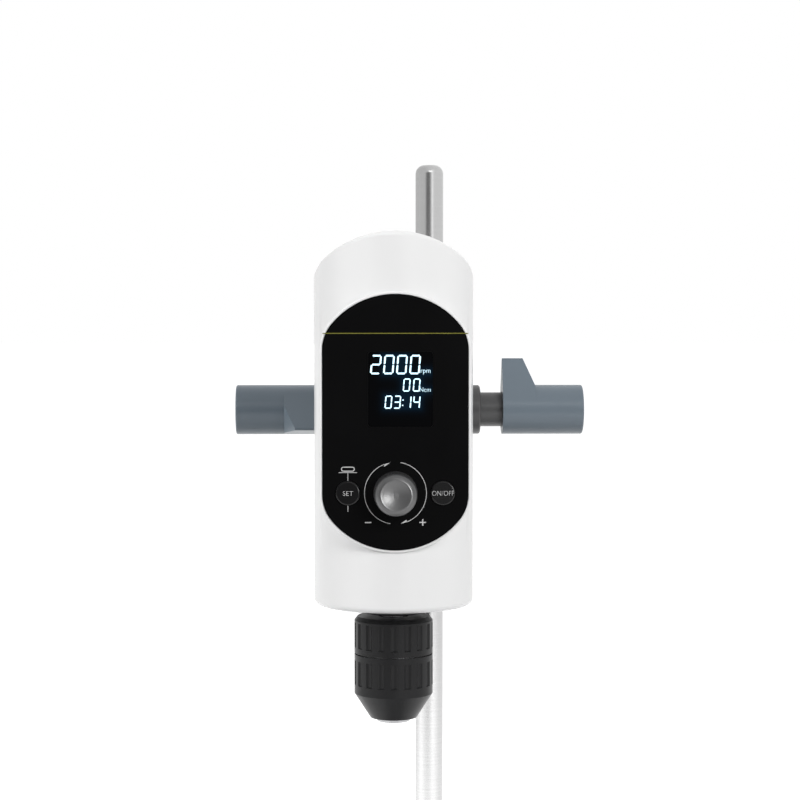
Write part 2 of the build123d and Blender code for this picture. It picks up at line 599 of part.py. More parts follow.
def make_housing():
    outer = head_form(0)
    spring = HEAD_HEIGHT - HEAD_RISE
    rim = [edge for edge in outer.edges() if edge.center().Z > spring + VAULT_SPREAD
           and (edge.geom_type != GeomType.LINE or abs(edge.center().X) > HEAD_RADIUS - VAULT_SPREAD)]
    outer = fillet(rim, HEAD_TOP_ROUND)
    lower = [edge for edge in outer.edges() if edge.center().Z < 0.01]
    outer = fillet(lower, HEAD_BOTTOM_ROUND)
    bezel_root = -sqrt(HEAD_RADIUS ** 2 - (PANEL_HALF_WIDTH + BEZEL_MARGIN) ** 2) + BEZEL_ROOT
    bezel = panel_shape(BEZEL_MARGIN, FACE, bezel_root)
    bezel = fillet(bezel.faces().sort_by(Axis.Y)[0].edges(), BEZEL_ROUND)
    inside = head_form(HEAD_WALL)
    near_wall = head_form(HEAD_WALL / 2)
    wall_opening = extrude(head_outline(HEAD_WALL), HEAD_HEIGHT / 2)
    shell = (outer + bezel) - inside - Pos(0, 0, -HEAD_HEIGHT / 4) * wall_opening
    shell -= panel_shape(BEZEL_MARGIN - HEAD_WALL, BEZEL_INSIDE, bezel_root + BEZEL_ROOT)
    for boss in bottom_bosses(near_wall):
        shell += boss

    front = shell & slice_y(2 * FACE, HEAD_SEAM - SEAM_GAP / 2)
    front -= panel_shape(PANEL_GAP, 2 * FACE, PANEL_SEAT)
    module_gap = 2 * LENS_GAP
    front -= window(WINDOW_WIDTH + module_gap, WINDOW_HEIGHT + module_gap, FACE, 0)
    front -= Pos(0, 0, CONTROL_Z) * rod_y(ENCODER_BUSH_RADIUS + SEAT, FACE, 0)
    for place in button_places():
        front -= place * rod_y(BUTTON_RADIUS + BUTTON_GAP, FACE, 0)
    for place in tower_places():
        boss = rod_y(TOWER_RADIUS, HEAD_SEAM - TOWER_FRONT_LENGTH, HEAD_SEAM - SEAM_GAP / 2)
        front += (place * boss) & near_wall
        front -= place * rod_y(M3[0] + RUNNING, HEAD_SEAM - TOWER_FRONT_LENGTH + TOWER_FLOOR, HEAD_SEAM)
    keep("front_housing", HEAD * front)

    rear = shell & slice_y(HEAD_SEAM + SEAM_GAP / 2, 2 * HEAD_BACK)
    for place in tower_places():
        tower = rod_y(TOWER_RADIUS, HEAD_SEAM + SEAM_GAP / 2, INSIDE_BACK + PAST)
        rear += (place * tower) & near_wall
        rear -= place * rod_y(TOWER_SCREW_BORE, HEAD_SEAM - PAST, HEAD_BACK)
        rear -= place * rod_y(TOWER_HEAD_BORE, HEAD_SEAM + TOWER_SEAT, HEAD_BACK + PAST)
    for turn in flange_screw_turns():
        spot = Pos(0, 0, AXIS_HEIGHT) * Rot(Y=turn) * Pos(ARM_FLANGE_SCREW_CIRCLE, 0, 0)
        rear -= spot * rod_y(M4[0] + SEAT, INSIDE_BACK - PAST, HEAD_BACK + PAST)
    for row in range(VENT_COUNT):
        slot = Plane.XZ * Pos(0, VENT_LOW + row * VENT_PITCH) * SlotOverall(VENT_LENGTH, VENT_HEIGHT)
        rear -= Pos(0, INSIDE_BACK - PAST, 0) * extrude(slot, HEAD_WALL + 2 * PAST, dir=(0, 1, 0))
    rear -= inlet_block(INLET_WIDTH + SEAT, INLET_HEIGHT + SEAT, INSIDE_BACK - PAST, HEAD_BACK + PAST)
    hole = rod_y(M3[0] + SEAT, INSIDE_BACK - PAST, HEAD_BACK + PAST)
    for side in (-1, 1):
        rear -= Pos(side * INLET_SCREW_X, 0, INLET_Z) * hole
    keep("rear_housing", HEAD * rear)
    screw = Pos(0, HEAD_SEAM + TOWER_SEAT, 0) * screw_y(M3, TOWER_SEAT + TOWER_FRONT_LENGTH - SCREW_SHORT)
    screws = [place * screw for place in tower_places()]
    keep("housing_screws", *[HEAD * screw for screw in screws])


# ---- controls -----------------------------------------------------------------------------------

def make_controls():
    panel = panel_shape(0, PANEL_FRONT, PANEL_SEAT)
    front, back = PANEL_FRONT - PAST, PANEL_SEAT + PAST
    panel -= window(WINDOW_WIDTH + 2 * LENS_GAP, WINDOW_HEIGHT + 2 * LENS_GAP, front, back)
    panel -= Pos(0, 0, CONTROL_Z) * rod_y(ENCODER_BUSH_RADIUS + SEAT, front, back)
    for place in button_places():
        panel -= place * rod_y(BUTTON_RADIUS + BUTTON_GAP, front, back)
    keep("control_panel", HEAD * panel)
    keep("display_lens", HEAD * window(WINDOW_WIDTH, WINDOW_HEIGHT, PANEL_FRONT, PANEL_SEAT))
    keep("display_module", HEAD * window(WINDOW_WIDTH, WINDOW_HEIGHT, PANEL_SEAT, BOARD_FRONT))

    board = panel_shape(-BOARD_INSET, BOARD_FRONT, BOARD_BACK)
    keep("control_board", HEAD * board)
    standoffs = []
    screws = []
    for x, z in STANDOFF_SPOTS:
        standoffs.append(HEAD * Pos(x, 0, z) * rod_y(STANDOFF_RADIUS, BEZEL_INSIDE, BOARD_FRONT))
        screws.append(HEAD * Pos(x, BOARD_BACK, z) * rod_y(M3[1], 0, BOARD_SCREW_HEAD))
    keep("board_standoffs", *standoffs)
    keep("board_screws", *screws)

    body_front = BOARD_FRONT - ENCODER_DEPTH
    middle = (body_front + BOARD_FRONT) / 2
    encoder = Pos(0, middle, 0) * Box(ENCODER_SIZE, ENCODER_DEPTH, ENCODER_SIZE)
    encoder += rod_y(ENCODER_BUSH_RADIUS, PANEL_FRONT + SEAT, body_front)
    encoder -= rod_y(CONTROL_SHAFT_RADIUS + RUNNING, PANEL_FRONT - PAST, body_front + ENCODER_BORE_DEPTH)
    at_knob = Pos(0, 0, CONTROL_Z)
    keep("encoder", HEAD * at_knob * encoder)
    shaft_back = body_front + ENCODER_BORE_DEPTH - SEAT
    shaft = rod_y(CONTROL_SHAFT_RADIUS, shaft_back - CONTROL_SHAFT_LENGTH, shaft_back)
    flat = Box(4 * CONTROL_SHAFT_RADIUS, CONTROL_SHAFT_LENGTH, CONTROL_SHAFT_RADIUS)
    flat_z = CONTROL_SHAFT_FLAT + CONTROL_SHAFT_RADIUS / 2
    flat_place = Pos(0, PANEL_FRONT - CONTROL_SHAFT_LENGTH / 2 - CONTROL_FLAT_START, flat_z)
    keep("encoder_shaft", HEAD * at_knob * (shaft - flat_place * flat))
    keep("control_knob", HEAD * at_knob * control_knob(shaft_back - CONTROL_SHAFT_LENGTH))

    switches = []
    for place, name in zip(button_places(), ("set_button", "on_off_button")):
        cap_front = PANEL_FRONT - BUTTON_PROUD
        flange_front = BEZEL_INSIDE + SEAT
        cap = rod_y(BUTTON_RADIUS, cap_front, flange_front)
        cap = fillet(cap.edges().group_by(Axis.Y)[0], BUTTON_EDGE)
        cap += rod_y(BUTTON_FLANGE_RADIUS, flange_front, flange_front + BUTTON_FLANGE)
        switch_top = BOARD_FRONT - SWITCH_DEPTH - SWITCH_CAP_HEIGHT
        cap += rod_y(BUTTON_STEM_RADIUS, flange_front, switch_top - BUTTON_TRAVEL - SEAT / 2)
        keep(name, HEAD * place * cap)
        switch = Pos(0, BOARD_FRONT - SWITCH_DEPTH / 2, 0) * Box(SWITCH_SIZE, SWITCH_DEPTH, SWITCH_SIZE)
        switches.append(HEAD * place * (switch + rod_y(SWITCH_CAP_RADIUS, switch_top, BOARD_FRONT)))
    keep("button_switches", *switches)


def control_knob(shaft_front):
    """Smooth turned knob with a hollow back, a hub and a bore with a flat."""
    back = PANEL_FRONT - PLAY
    front = back - CONTROL_KNOB_LENGTH
    end_radius = CONTROL_KNOB_RADIUS - CONTROL_KNOB_DRAFT
    cone = Cone(CONTROL_KNOB_RADIUS, end_radius, CONTROL_KNOB_LENGTH)
    knob = Pos(0, (front + back) / 2, 0) * Rot(X=90) * cone
    knob = fillet(knob.edges().group_by(Axis.Y)[0], CONTROL_KNOB_ROUND)
    inner = CONTROL_KNOB_RADIUS - CONTROL_KNOB_WALL
    hub = rod_y(CONTROL_KNOB_HUB, front, back - CONTROL_KNOB_HUB_LIFT)
    knob -= rod_y(inner, back - CONTROL_KNOB_RECESS, back + PAST) - hub
    bore = rod_y(CONTROL_SHAFT_RADIUS + RUNNING, shaft_front - SEAT, back + PAST)
    lip = Box(4 * CONTROL_SHAFT_RADIUS, CONTROL_KNOB_LENGTH, CONTROL_SHAFT_RADIUS)
    lip_z = CONTROL_SHAFT_FLAT + RUNNING + CONTROL_SHAFT_RADIUS / 2
    return knob - (bore - Pos(0, back - CONTROL_KNOB_LENGTH / 2 - CONTROL_FLAT_START, lip_z) * lip)


# ---- drive --------------------------------------------------------------------------------------

def make_bottom():
    plate = Pos(0, 0, BOTTOM_LIFT) * extrude(head_outline(HEAD_WALL + SEAT), BOTTOM_THICKNESS)
    plate -= rod_z(BEARING_HOUSING_RADIUS + RUNNING, 0, BOTTOM_TOP + PAST)
    shank, head_radius, head_height = M3
    screws = []
    for x, y in BOTTOM_BOSS_SPOTS:
        spot = Pos(x, y, 0)
        seat = BOTTOM_LIFT + head_height + SEAT
        plate -= spot * rod_z(shank + SEAT, 0, BOTTOM_TOP + PAST)
        plate -= spot * rod_z(head_radius + SEAT, 0, seat)
        screw = Rot(X=180) * screw_z(M3, BOTTOM_THICKNESS + BOTTOM_SCREW_BITE)
        screws.append(HEAD * spot * Pos(0, 0, seat) * screw)
    turns = [Rot(Z=45 + 90 * i) for i in range(4)]
    for turn in turns:
        plate -= turn * Pos(BEARING_SCREW_CIRCLE, 0, 0) * rod_z(shank + RUNNING, 0, BOTTOM_TOP + PAST)
    keep("bottom_plate", HEAD * plate)
    keep("bottom_screws", *screws)

    flange_top = BOTTOM_TOP + BEARING_FLANGE_HEIGHT
    pocket_low = BEARING_HOUSING_LOW + BEARING_POCKET_LIP + BEARING_HEIGHT + RUNNING
    pocket_high = BEARING_HOUSING_HIGH - BEARING_POCKET_LIP - BEARING_HEIGHT - RUNNING
    housing = rod_z(BEARING_HOUSING_RADIUS, BEARING_HOUSING_LOW, BEARING_HOUSING_HIGH)
    housing = chamfer(housing.edges().group_by(Axis.Z)[0], EASE)
    housing += rod_z(BEARING_FLANGE_RADIUS, BOTTOM_TOP, flange_top)
    under, over = BEARING_HOUSING_LOW - PAST, BEARING_HOUSING_HIGH + PAST
    housing -= rod_z(BEARING_OUTER - BEARING_SHOULDER, under, over)
    housing -= rod_z(BEARING_OUTER + RUNNING, under, pocket_low)
    housing -= rod_z(BEARING_OUTER + RUNNING, pocket_high, over)
    screws = []
    for turn in turns:
        spot = turn * Pos(BEARING_SCREW_CIRCLE, 0, 0)
        housing -= spot * rod_z(shank + SEAT, BOTTOM_TOP - PAST, flange_top + PAST)
        length = BEARING_FLANGE_HEIGHT + BOTTOM_THICKNESS - BEARING_SCREW_SHORT
        screws.append(HEAD * spot * Pos(0, 0, flange_top) * screw_z(M3, length))
    keep("bearing_housing", HEAD * housing)
    keep("bearing_screws", *screws)
    bore = BEARING_INNER + RUNNING
    rings = [bearing_ring(BEARING_OUTER, bore, low, low + BEARING_HEIGHT) for low in bearing_lows()]
    keep("spindle_bearings", *[HEAD * ring for ring in rings])


def bearing_lows():
    """Lower faces of the two spindle bearings."""
    high = BEARING_HOUSING_HIGH - BEARING_POCKET_LIP - BEARING_HEIGHT
    return BEARING_HOUSING_LOW + BEARING_POCKET_LIP, high


def bearing_ring(outer, inner, low, high):
    """Shielded ball bearing: one ring with a shallow shield groove on each face."""
    ring = ring_z(outer, inner, low, high)
    plain = (outer - inner) * SHIELD_SHARE
    for face in (low, high):
        ring -= ring_z(outer - plain, inner + plain, face - SHIELD_DEPTH, face + SHIELD_DEPTH)
    return ring


def make_spindle():
    low_bearing, high_bearing = bearing_lows()
    hub_top = -(CHUCK_TOP + CHUCK_HUB_TOP)
    thread_end = -(CHUCK_TOP + THREAD_DEPTH)
    spindle = rod_z(THREAD_RADIUS, thread_end, hub_top)
    spindle += rod_z(SPINDLE_SHOULDER_RADIUS, hub_top, low_bearing - RUNNING)
    spindle += rod_z(BEARING_INNER, low_bearing - RUNNING, SPINDLE_TOP)
    spindle += rod_z(SPINDLE_SHOULDER_RADIUS, low_bearing + BEARING_HEIGHT + RUNNING, high_bearing - RUNNING)
    spindle = chamfer(spindle.edges().group_by(Axis.Z)[0], EASE)
    keep("spindle", HEAD * spindle)
    coupling_top = COUPLING_LOW + COUPLING_HEIGHT
    middle = (COUPLING_LOW + coupling_top) / 2
    coupling = rod_z(COUPLING_RADIUS, COUPLING_LOW, coupling_top)
    coupling = chamfer(coupling.edges().filter_by(GeomType.CIRCLE), EASE)
    coupling -= rod_z(BEARING_INNER + RUNNING, COUPLING_LOW - PAST, middle)
    coupling -= rod_z(MOTOR_SHAFT_RADIUS + RUNNING, middle - PAST, coupling_top + PAST)
    keep("shaft_coupling", HEAD * coupling)


def make_motor():
    plate = Pos(0, 0, MOTOR_PLATE_LOW) * extrude(head_outline(HEAD_WALL + PLAY), MOTOR_PLATE_THICKNESS)
    plate &= slice_y(-MOTOR_PLATE_FRONT, HEAD_BACK)
    plate -= rod_z(MOTOR_PILOT_RADIUS + SEAT, MOTOR_PLATE_LOW - PAST, MOTOR_LOW + PAST)
    posts = []
    for x, y in POST_SPOTS:
        posts.append(HEAD * Pos(x, y, 0) * rod_z(POST_RADIUS, BOTTOM_TOP, MOTOR_PLATE_LOW))
    keep("motor_posts", *posts)
    screws = []
    turns = [Rot(Z=45 + 90 * i) for i in range(4)]
    motor = rod_z(MOTOR_RADIUS, MOTOR_LOW, MOTOR_HIGH)
    motor = chamfer(motor.edges().filter_by(GeomType.CIRCLE), MOTOR_EDGE)
    motor += rod_z(MOTOR_PILOT_RADIUS, MOTOR_LOW - MOTOR_PILOT_HEIGHT, MOTOR_LOW)
    motor -= rod_z(MOTOR_RADIUS - MOTOR_WALL, MOTOR_LOW + MOTOR_CAP, MOTOR_HIGH - MOTOR_CAP)
    motor -= rod_z(MOTOR_SHAFT_RADIUS + MOTOR_SHAFT_ROOM, MOTOR_PLATE_LOW - PAST, MOTOR_HIGH - MOTOR_END_WALL)
    rings = []
    for low in (MOTOR_LOW + MOTOR_CAP - MOTOR_BEARING_HEIGHT, MOTOR_HIGH - MOTOR_CAP):
        motor -= rod_z(MOTOR_BEARING_RADIUS + RUNNING, low - RUNNING, low + MOTOR_BEARING_HEIGHT + RUNNING)
        ring = ring_z(MOTOR_BEARING_RADIUS, MOTOR_SHAFT_RADIUS + RUNNING, low, low + MOTOR_BEARING_HEIGHT)
        rings.append(HEAD * ring)
    keep("motor_bearings", *rings)
    shank, head_radius, head_height = M3
    for turn in turns:
        spot = turn * Pos(MOTOR_SCREW_CIRCLE, 0, 0)
        plate -= spot * rod_z(shank + SEAT, MOTOR_PLATE_LOW - PAST, MOTOR_LOW + PAST)
        motor -= spot * rod_z(shank + RUNNING, MOTOR_LOW - PAST, MOTOR_LOW + MOTOR_CAP)
        length = MOTOR_PLATE_THICKNESS + MOTOR_CAP - MOTOR_SCREW_SHORT
        screw = Pos(0, 0, MOTOR_PLATE_LOW) * Rot(X=180) * screw_z(M3, length)
        screws.append(HEAD * spot * screw)
    keep("motor_plate", HEAD * plate)
    keep("motor_can", HEAD * motor)
    keep("motor_screws", *screws)
    half = STATOR_LENGTH / 2
    bore = ROTOR_RADIUS + AIR_GAP
    stator = ring_z(MOTOR_RADIUS - MOTOR_WALL - RUNNING, bore, MOTOR_MIDDLE - half, MOTOR_MIDDLE + half)
    keep("motor_stator", HEAD * stator)
    shaft_low = COUPLING_LOW + COUPLING_HEIGHT / 2 + COUPLING_GAP
    rotor = rod_z(ROTOR_RADIUS, MOTOR_MIDDLE - ROTOR_LENGTH / 2, MOTOR_MIDDLE + ROTOR_LENGTH / 2)
    rotor += rod_z(MOTOR_SHAFT_RADIUS, shaft_low, MOTOR_HIGH - MOTOR_END_WALL - PLAY)
    keep("motor_rotor", HEAD * rotor)


# ---- drive board and power inlet ------------------------------------------------------------------

def inlet_block(width, height, front, back, corner=INLET_CORNER):
    """Rounded rectangular block at the inlet's place, along Y."""
    face = Plane.XZ * Pos(0, INLET_Z) * RectangleRounded(width, height, corner)
    return Pos(0, front, 0) * extrude(face, back - front, dir=(0, 1, 0))


def make_rear_electrics():
    board_back = INSIDE_BACK - DRIVE_BOARD_STANDOFF
    board_front = board_back - BOARD_THICKNESS
    board_middle = DRIVE_BOARD_LOW + DRIVE_BOARD_HEIGHT / 2
    board = Box(DRIVE_BOARD_WIDTH, BOARD_THICKNESS, DRIVE_BOARD_HEIGHT)
    board = Pos(0, (board_front + board_back) / 2, board_middle) * board
    capacitor = rod_y(CAPACITOR_RADIUS, board_front - CAPACITOR_HEIGHT, board_front)
    for x in (-CAPACITOR_X, CAPACITOR_X):
        board += Pos(x, 0, board_middle + CAPACITOR_RISE) * capacitor
    sink_width, sink_depth, sink_height = HEAT_SINK_SIZE
    sink = Box(sink_width, sink_depth, sink_height)
    board += Pos(0, board_front - sink_depth / 2, board_middle - HEAT_SINK_DROP) * sink
    keep("drive_board", HEAD * board)
    standoffs = []
    for i in (-1, 1):
        for j in (-1, 1):
            x = i * (DRIVE_BOARD_WIDTH / 2 - STANDOFF_RADIUS)
            z = board_middle + j * (DRIVE_BOARD_HEIGHT / 2 - STANDOFF_RADIUS)
            standoffs.append(HEAD * Pos(x, 0, z) * rod_y(STANDOFF_RADIUS, board_back, INSIDE_BACK))
    keep("drive_board_standoffs", *standoffs)

    flange_back = HEAD_BACK + INLET_FLANGE
    inlet = inlet_block(INLET_FLANGE_WIDTH, INLET_FLANGE_HEIGHT, HEAD_BACK, flange_back, INLET_FLANGE_CORNER)
    inlet += inlet_block(INLET_WIDTH, INLET_HEIGHT, flange_back - INLET_DEPTH, HEAD_BACK)
    width, height, depth = INLET_CAVITY
    floor = flange_back - depth
    inlet -= inlet_block(width, height, floor, flange_back + PAST, INLET_CAVITY_CORNER)
    thick, tall = INLET_PIN
    for x, z in INLET_PIN_SPOTS:
        pin = Box(thick, INLET_PIN_REACH, tall)
        inlet += Pos(x, floor + INLET_PIN_REACH / 2, INLET_Z + z) * pin
    screw = Pos(0, flange_back, 0) * screw_y(M3, INLET_FLANGE + HEAD_WALL + SCREW_BEYOND)
    screws = []
    for side in (-1, 1):
        spot = Pos(side * INLET_SCREW_X, 0, INLET_Z)
        inlet -= spot * rod_y(M3[0] + SEAT, HEAD_BACK - PAST, flange_back + PAST)
        screws.append(HEAD * spot * screw)
    keep("power_inlet", HEAD * inlet)
    keep("inlet_screws", *screws)


# ---- chuck --------------------------------------------------------------------------------------

def down(points):
    """Chuck half section, given as radius and distance below the chuck's top face."""
    return turned([(radius, -(CHUCK_TOP + depth)) for radius, depth in points])


def jaw_line_radius(depth):
    """Radius of a jaw's axis at a depth below the chuck's top face."""
    tip = JAW_OPEN - JAW_GRIP * tan(radians(JAW_TILT)) + JAW_RADIUS / cos(radians(JAW_TILT))
    return tip + (JAW_TIP - depth) * tan(radians(JAW_TILT))


def jaw_frame(depth):
    """Place on a jaw's axis at a depth, with +Z running up along the tilted jaw."""
    return Pos(jaw_line_radius(depth), 0, -(CHUCK_TOP + depth)) * Rot(Y=JAW_TILT)


def jaw_turns():
    """The jaws' directions round the chuck."""
    return [Rot(Z=360 / JAW_COUNT * i) for i in range(JAW_COUNT)]


def flutes(low, high):
    """Shallow grip flutes round a sleeve between two depths."""
    centre = CHUCK_RADIUS + FLUTE_RADIUS - FLUTE_DEPTH
    cutter = Pos(centre, 0, 0) * rod_z(FLUTE_RADIUS, -(CHUCK_TOP + high), -(CHUCK_TOP + low))
    return [Rot(Z=360 / FLUTE_COUNT * (i + 0.5)) * cutter for i in range(FLUTE_COUNT)]


def make_jaw():
    """One jaw: a tilted round bar with a wedge-shaped, upright gripping face at its tip."""
    bar = jaw_frame(JAW_TIP) * rod_z(JAW_RADIUS, -JAW_RADIUS, JAW_LENGTH)
    tip_z = -(CHUCK_TOP + JAW_TIP)
    edge = JAW_OPEN - JAW_EDGE
    far = 4 * JAW_RADIUS
    spread = tan(pi / JAW_COUNT)
    wedge = Polyline((JAW_OPEN, -JAW_EDGE * spread), (edge + far, -far * spread), (edge + far, far * spread),
                     (JAW_OPEN, JAW_EDGE * spread), close=True)
    grip = Pos(0, 0, tip_z) * extrude(make_face(wedge), JAW_LENGTH)
    shoulder = -(CHUCK_TOP + JAW_TIP - JAW_GRIP)
    back = Pos(0, 0, (shoulder + JAW_LENGTH / 2)) * Box(8 * far, 8 * far, JAW_LENGTH)
    return bar & (grip + back)


def make_chuck():
    inner = CHUCK_RADIUS - SLEEVE_WALL
    radial, axial = CHUCK_TOP_CHAMFER
    hole = SPINDLE_SHOULDER_RADIUS + ROOF_GAP
    rear = down([(hole, 0), (CHUCK_RADIUS - radial, 0), (CHUCK_RADIUS, axial),
                 (CHUCK_RADIUS, REAR_SLEEVE_LENGTH), (inner, REAR_SLEEVE_LENGTH),
                 (inner, REAR_SLEEVE_ROOF), (hole, REAR_SLEEVE_ROOF)])
    for cutter in flutes(FLUTE_MARGIN, REAR_SLEEVE_LENGTH - FLUTE_MARGIN):
        rear -= cutter
    keep("chuck_rear_sleeve", HEAD * rear)

    start = REAR_SLEEVE_LENGTH + SLEEVE_GAP
    wall_end = FRONT_SLEEVE_END_RADIUS - FRONT_SLEEVE_END_WALL
    front = down([(inner, start), (CHUCK_RADIUS, start), (CHUCK_RADIUS, FRONT_SLEEVE_STRAIGHT),
                  (FRONT_SLEEVE_END_RADIUS, FRONT_SLEEVE_END), (wall_end, FRONT_SLEEVE_END),
                  (inner, BODY_CONE_START + FRONT_SLEEVE_CONE_DROP)])
    for cutter in flutes(start + FLUTE_MARGIN, start + FLUTE_MARGIN + FRONT_FLUTE_LENGTH):
        front -= cutter
    keep("chuck_front_sleeve", HEAD * front)

    body_radius = inner - RUNNING
    body = down([(0, CHUCK_HUB_TOP), (body_radius, CHUCK_HUB_TOP), (body_radius, NUT_LOW),
                 (NUT_FLOOR_RADIUS, NUT_LOW), (NUT_FLOOR_RADIUS, NUT_HIGH), (inner - SEAT, NUT_HIGH),
                 (inner - SEAT, BODY_CONE_START), (CHUCK_NOSE_RADIUS, CHUCK_NOSE), (0, CHUCK_NOSE)])
    relieved = CHUCK_BORE + CHUCK_BORE_RELIEF
    mouth = CHUCK_BORE + 2 * CHUCK_BORE_CHAMFER
    body -= down([(0, CHUCK_BORE_TOP), (relieved, CHUCK_BORE_TOP), (relieved, CHUCK_GUIDE),
                  (CHUCK_BORE, CHUCK_GUIDE), (CHUCK_BORE, CHUCK_NOSE - CHUCK_BORE_CHAMFER),
                  (mouth, CHUCK_NOSE + CHUCK_BORE_CHAMFER), (0, CHUCK_NOSE + CHUCK_BORE_CHAMFER)])
    body -= rod_z(THREAD_RADIUS + RUNNING, -(CHUCK_TOP + THREAD_DEPTH + PAST), 0)
    channel = jaw_frame(JAW_TIP) * rod_z(JAW_RADIUS + JAW_PLAY, -2 * JAW_GRIP, JAW_LENGTH + PAST)
    for turn in jaw_turns():
        body -= turn * channel
    keep("chuck_body", HEAD * body)

    jaw = make_jaw()
    for number, turn in enumerate(jaw_turns(), 1):
        keep(f"chuck_jaw_{number}", HEAD * turn * jaw)

    reach = JAW_RADIUS / cos(radians(JAW_TILT)) + JAW_PLAY
    top = NUT_LOW + SEAT
    bottom = NUT_HIGH - SEAT
    nut = down([(jaw_line_radius(top) + reach, top), (inner - RUNNING, top), (inner - RUNNING, bottom),
                (jaw_line_radius(bottom) + reach, bottom)])
    nut -= Pos(0, 0, -(CHUCK_TOP + (top + bottom) / 2)) * Box(4 * inner, NUT_SPLIT, 2 * (bottom - top))
    keep("chuck_nut", HEAD * nut)


make_stand()
make_clamp()
make_arm()
make_housing()
make_controls()
make_bottom()
make_spindle()
make_motor()
make_rear_electrics()
make_chuck()

os.makedirs("parts", exist_ok=True)
for node, shape in PARTS.items():
    export_step(shape, f"parts/{node}.step")
print(len(PARTS), "nodes")
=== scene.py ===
"""Looks of the overhead stirrer: finishes for every piece, the printed panel and the lit display.

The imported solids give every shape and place. Each solid gets a finished copy with merged faces,
soft edges and its slot's material. The printing sits on the panel and the keys, and the lit
display on its lens.
"""
import json
from math import asin, cos, pi, radians, sin, tan

import bmesh
import bpy
from mathutils import Euler, Matrix, Vector


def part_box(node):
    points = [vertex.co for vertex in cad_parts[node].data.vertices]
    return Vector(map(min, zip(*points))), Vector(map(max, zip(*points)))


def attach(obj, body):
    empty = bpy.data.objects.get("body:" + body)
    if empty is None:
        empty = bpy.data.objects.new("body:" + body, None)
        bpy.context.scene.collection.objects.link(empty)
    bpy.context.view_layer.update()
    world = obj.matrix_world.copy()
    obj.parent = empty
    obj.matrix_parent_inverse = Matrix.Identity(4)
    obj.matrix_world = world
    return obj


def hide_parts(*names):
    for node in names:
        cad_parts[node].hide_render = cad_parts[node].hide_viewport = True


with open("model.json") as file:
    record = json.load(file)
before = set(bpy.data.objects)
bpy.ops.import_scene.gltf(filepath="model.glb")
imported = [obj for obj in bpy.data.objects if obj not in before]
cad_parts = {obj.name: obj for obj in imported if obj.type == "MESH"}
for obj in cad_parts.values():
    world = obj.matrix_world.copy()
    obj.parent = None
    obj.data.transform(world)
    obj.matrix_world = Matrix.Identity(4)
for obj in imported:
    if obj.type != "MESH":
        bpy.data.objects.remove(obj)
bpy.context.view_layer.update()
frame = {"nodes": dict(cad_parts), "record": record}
NODES = frame["nodes"]
SLOT_OF = {part["node"]: part["material_slot"] for part in frame["record"]["subparts"]}
BODIES = frame["record"]["behaviour"]["bodies"]
BODY_OF = {node: body for body, nodes in BODIES.items() for node in nodes}
MM = 0.001


# ---- places taken from the frame ---------------------------------------------------------------

def middle(node):
    """Centre of a node's box."""
    low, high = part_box(node)
    return (low + high) / 2


PANEL_LOW, PANEL_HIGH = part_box("control_panel")
PANEL_X = middle("control_panel").x
PANEL_FACE = PANEL_LOW.y
PANEL_HALF = (PANEL_HIGH.x - PANEL_LOW.x) / 2
LENS_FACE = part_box("display_lens")[0].y
DIAL = middle("control_knob")
SET_KEY = middle("set_button")
ON_OFF_KEY = middle("on_off_button")
KEY_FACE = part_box("set_button")[0].y
HEAD_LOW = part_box("front_housing")[0].z


# ---- shader groups -----------------------------------------------------------------------------

COARSE_GRAIN, COARSE_SHARE = 0.27, 0.35   # scale of the coarse pits, and their share of the height
SLOW_LINES = 0.05                         # scale of the change of tone along the tool lines
SPECK_SCALE = 45.0                        # dust specks for each smear
FADE_BASE = 2.718


class Tree:
    """Small helper to add and link nodes in a tree."""

    def __init__(self, tree):
        self.tree = tree
        self.nodes = tree.nodes

    def add(self, kind, **settings):
        """A node with its properties set."""
        node = self.nodes.new(kind)
        for name, value in settings.items():
            setattr(node, name, value)
        return node

    def link(self, source, target):
        """Joins an output socket to an input socket, or sets the input to a plain value."""
        if isinstance(source, bpy.types.NodeSocket):
            self.tree.links.new(source, target)
        else:
            target.default_value = source

    def math(self, operation, first, second=0.0, clamp=False):
        """Math node; each term is a socket or a number."""
        node = self.add("ShaderNodeMath", operation=operation, use_clamp=clamp)
        self.link(first, node.inputs[0])
        self.link(second, node.inputs[1])
        return node.outputs[0]

    def noise(self, vector, scale, detail=4.0, roughness=0.5, distortion=0.0):
        """Noise factor on a vector."""
        node = self.add("ShaderNodeTexNoise")
        self.link(vector, node.inputs["Vector"])
        self.link(scale, node.inputs["Scale"])
        self.link(detail, node.inputs["Detail"])
        self.link(roughness, node.inputs["Roughness"])
        self.link(distortion, node.inputs["Distortion"])
        return node.outputs["Fac"]

    def ramp(self, value, low, high, out_low=0.0, out_high=1.0):
        """Linear map of a value between two limits, clamped."""
        node = self.add("ShaderNodeMapRange", clamp=True)
        for source, name in ((value, "Value"), (low, "From Min"), (high, "From Max"),
                             (out_low, "To Min"), (out_high, "To Max")):
            self.link(source, node.inputs[name])
        return node.outputs["Result"]


def shader_group(name, inputs, outputs):
    """New shader group with named sockets: its helper, its input node and its output node."""
    group = bpy.data.node_groups.new(name, "ShaderNodeTree")
    for label, kind, value in inputs:
        socket = group.interface.new_socket(label, in_out="INPUT", socket_type=kind)
        if value is not None:
            socket.default_value = value
    for label, kind in outputs:
        group.interface.new_socket(label, in_out="OUTPUT", socket_type=kind)
    helper = Tree(group)
    return helper, helper.add("NodeGroupInput"), helper.add("NodeGroupOutput")


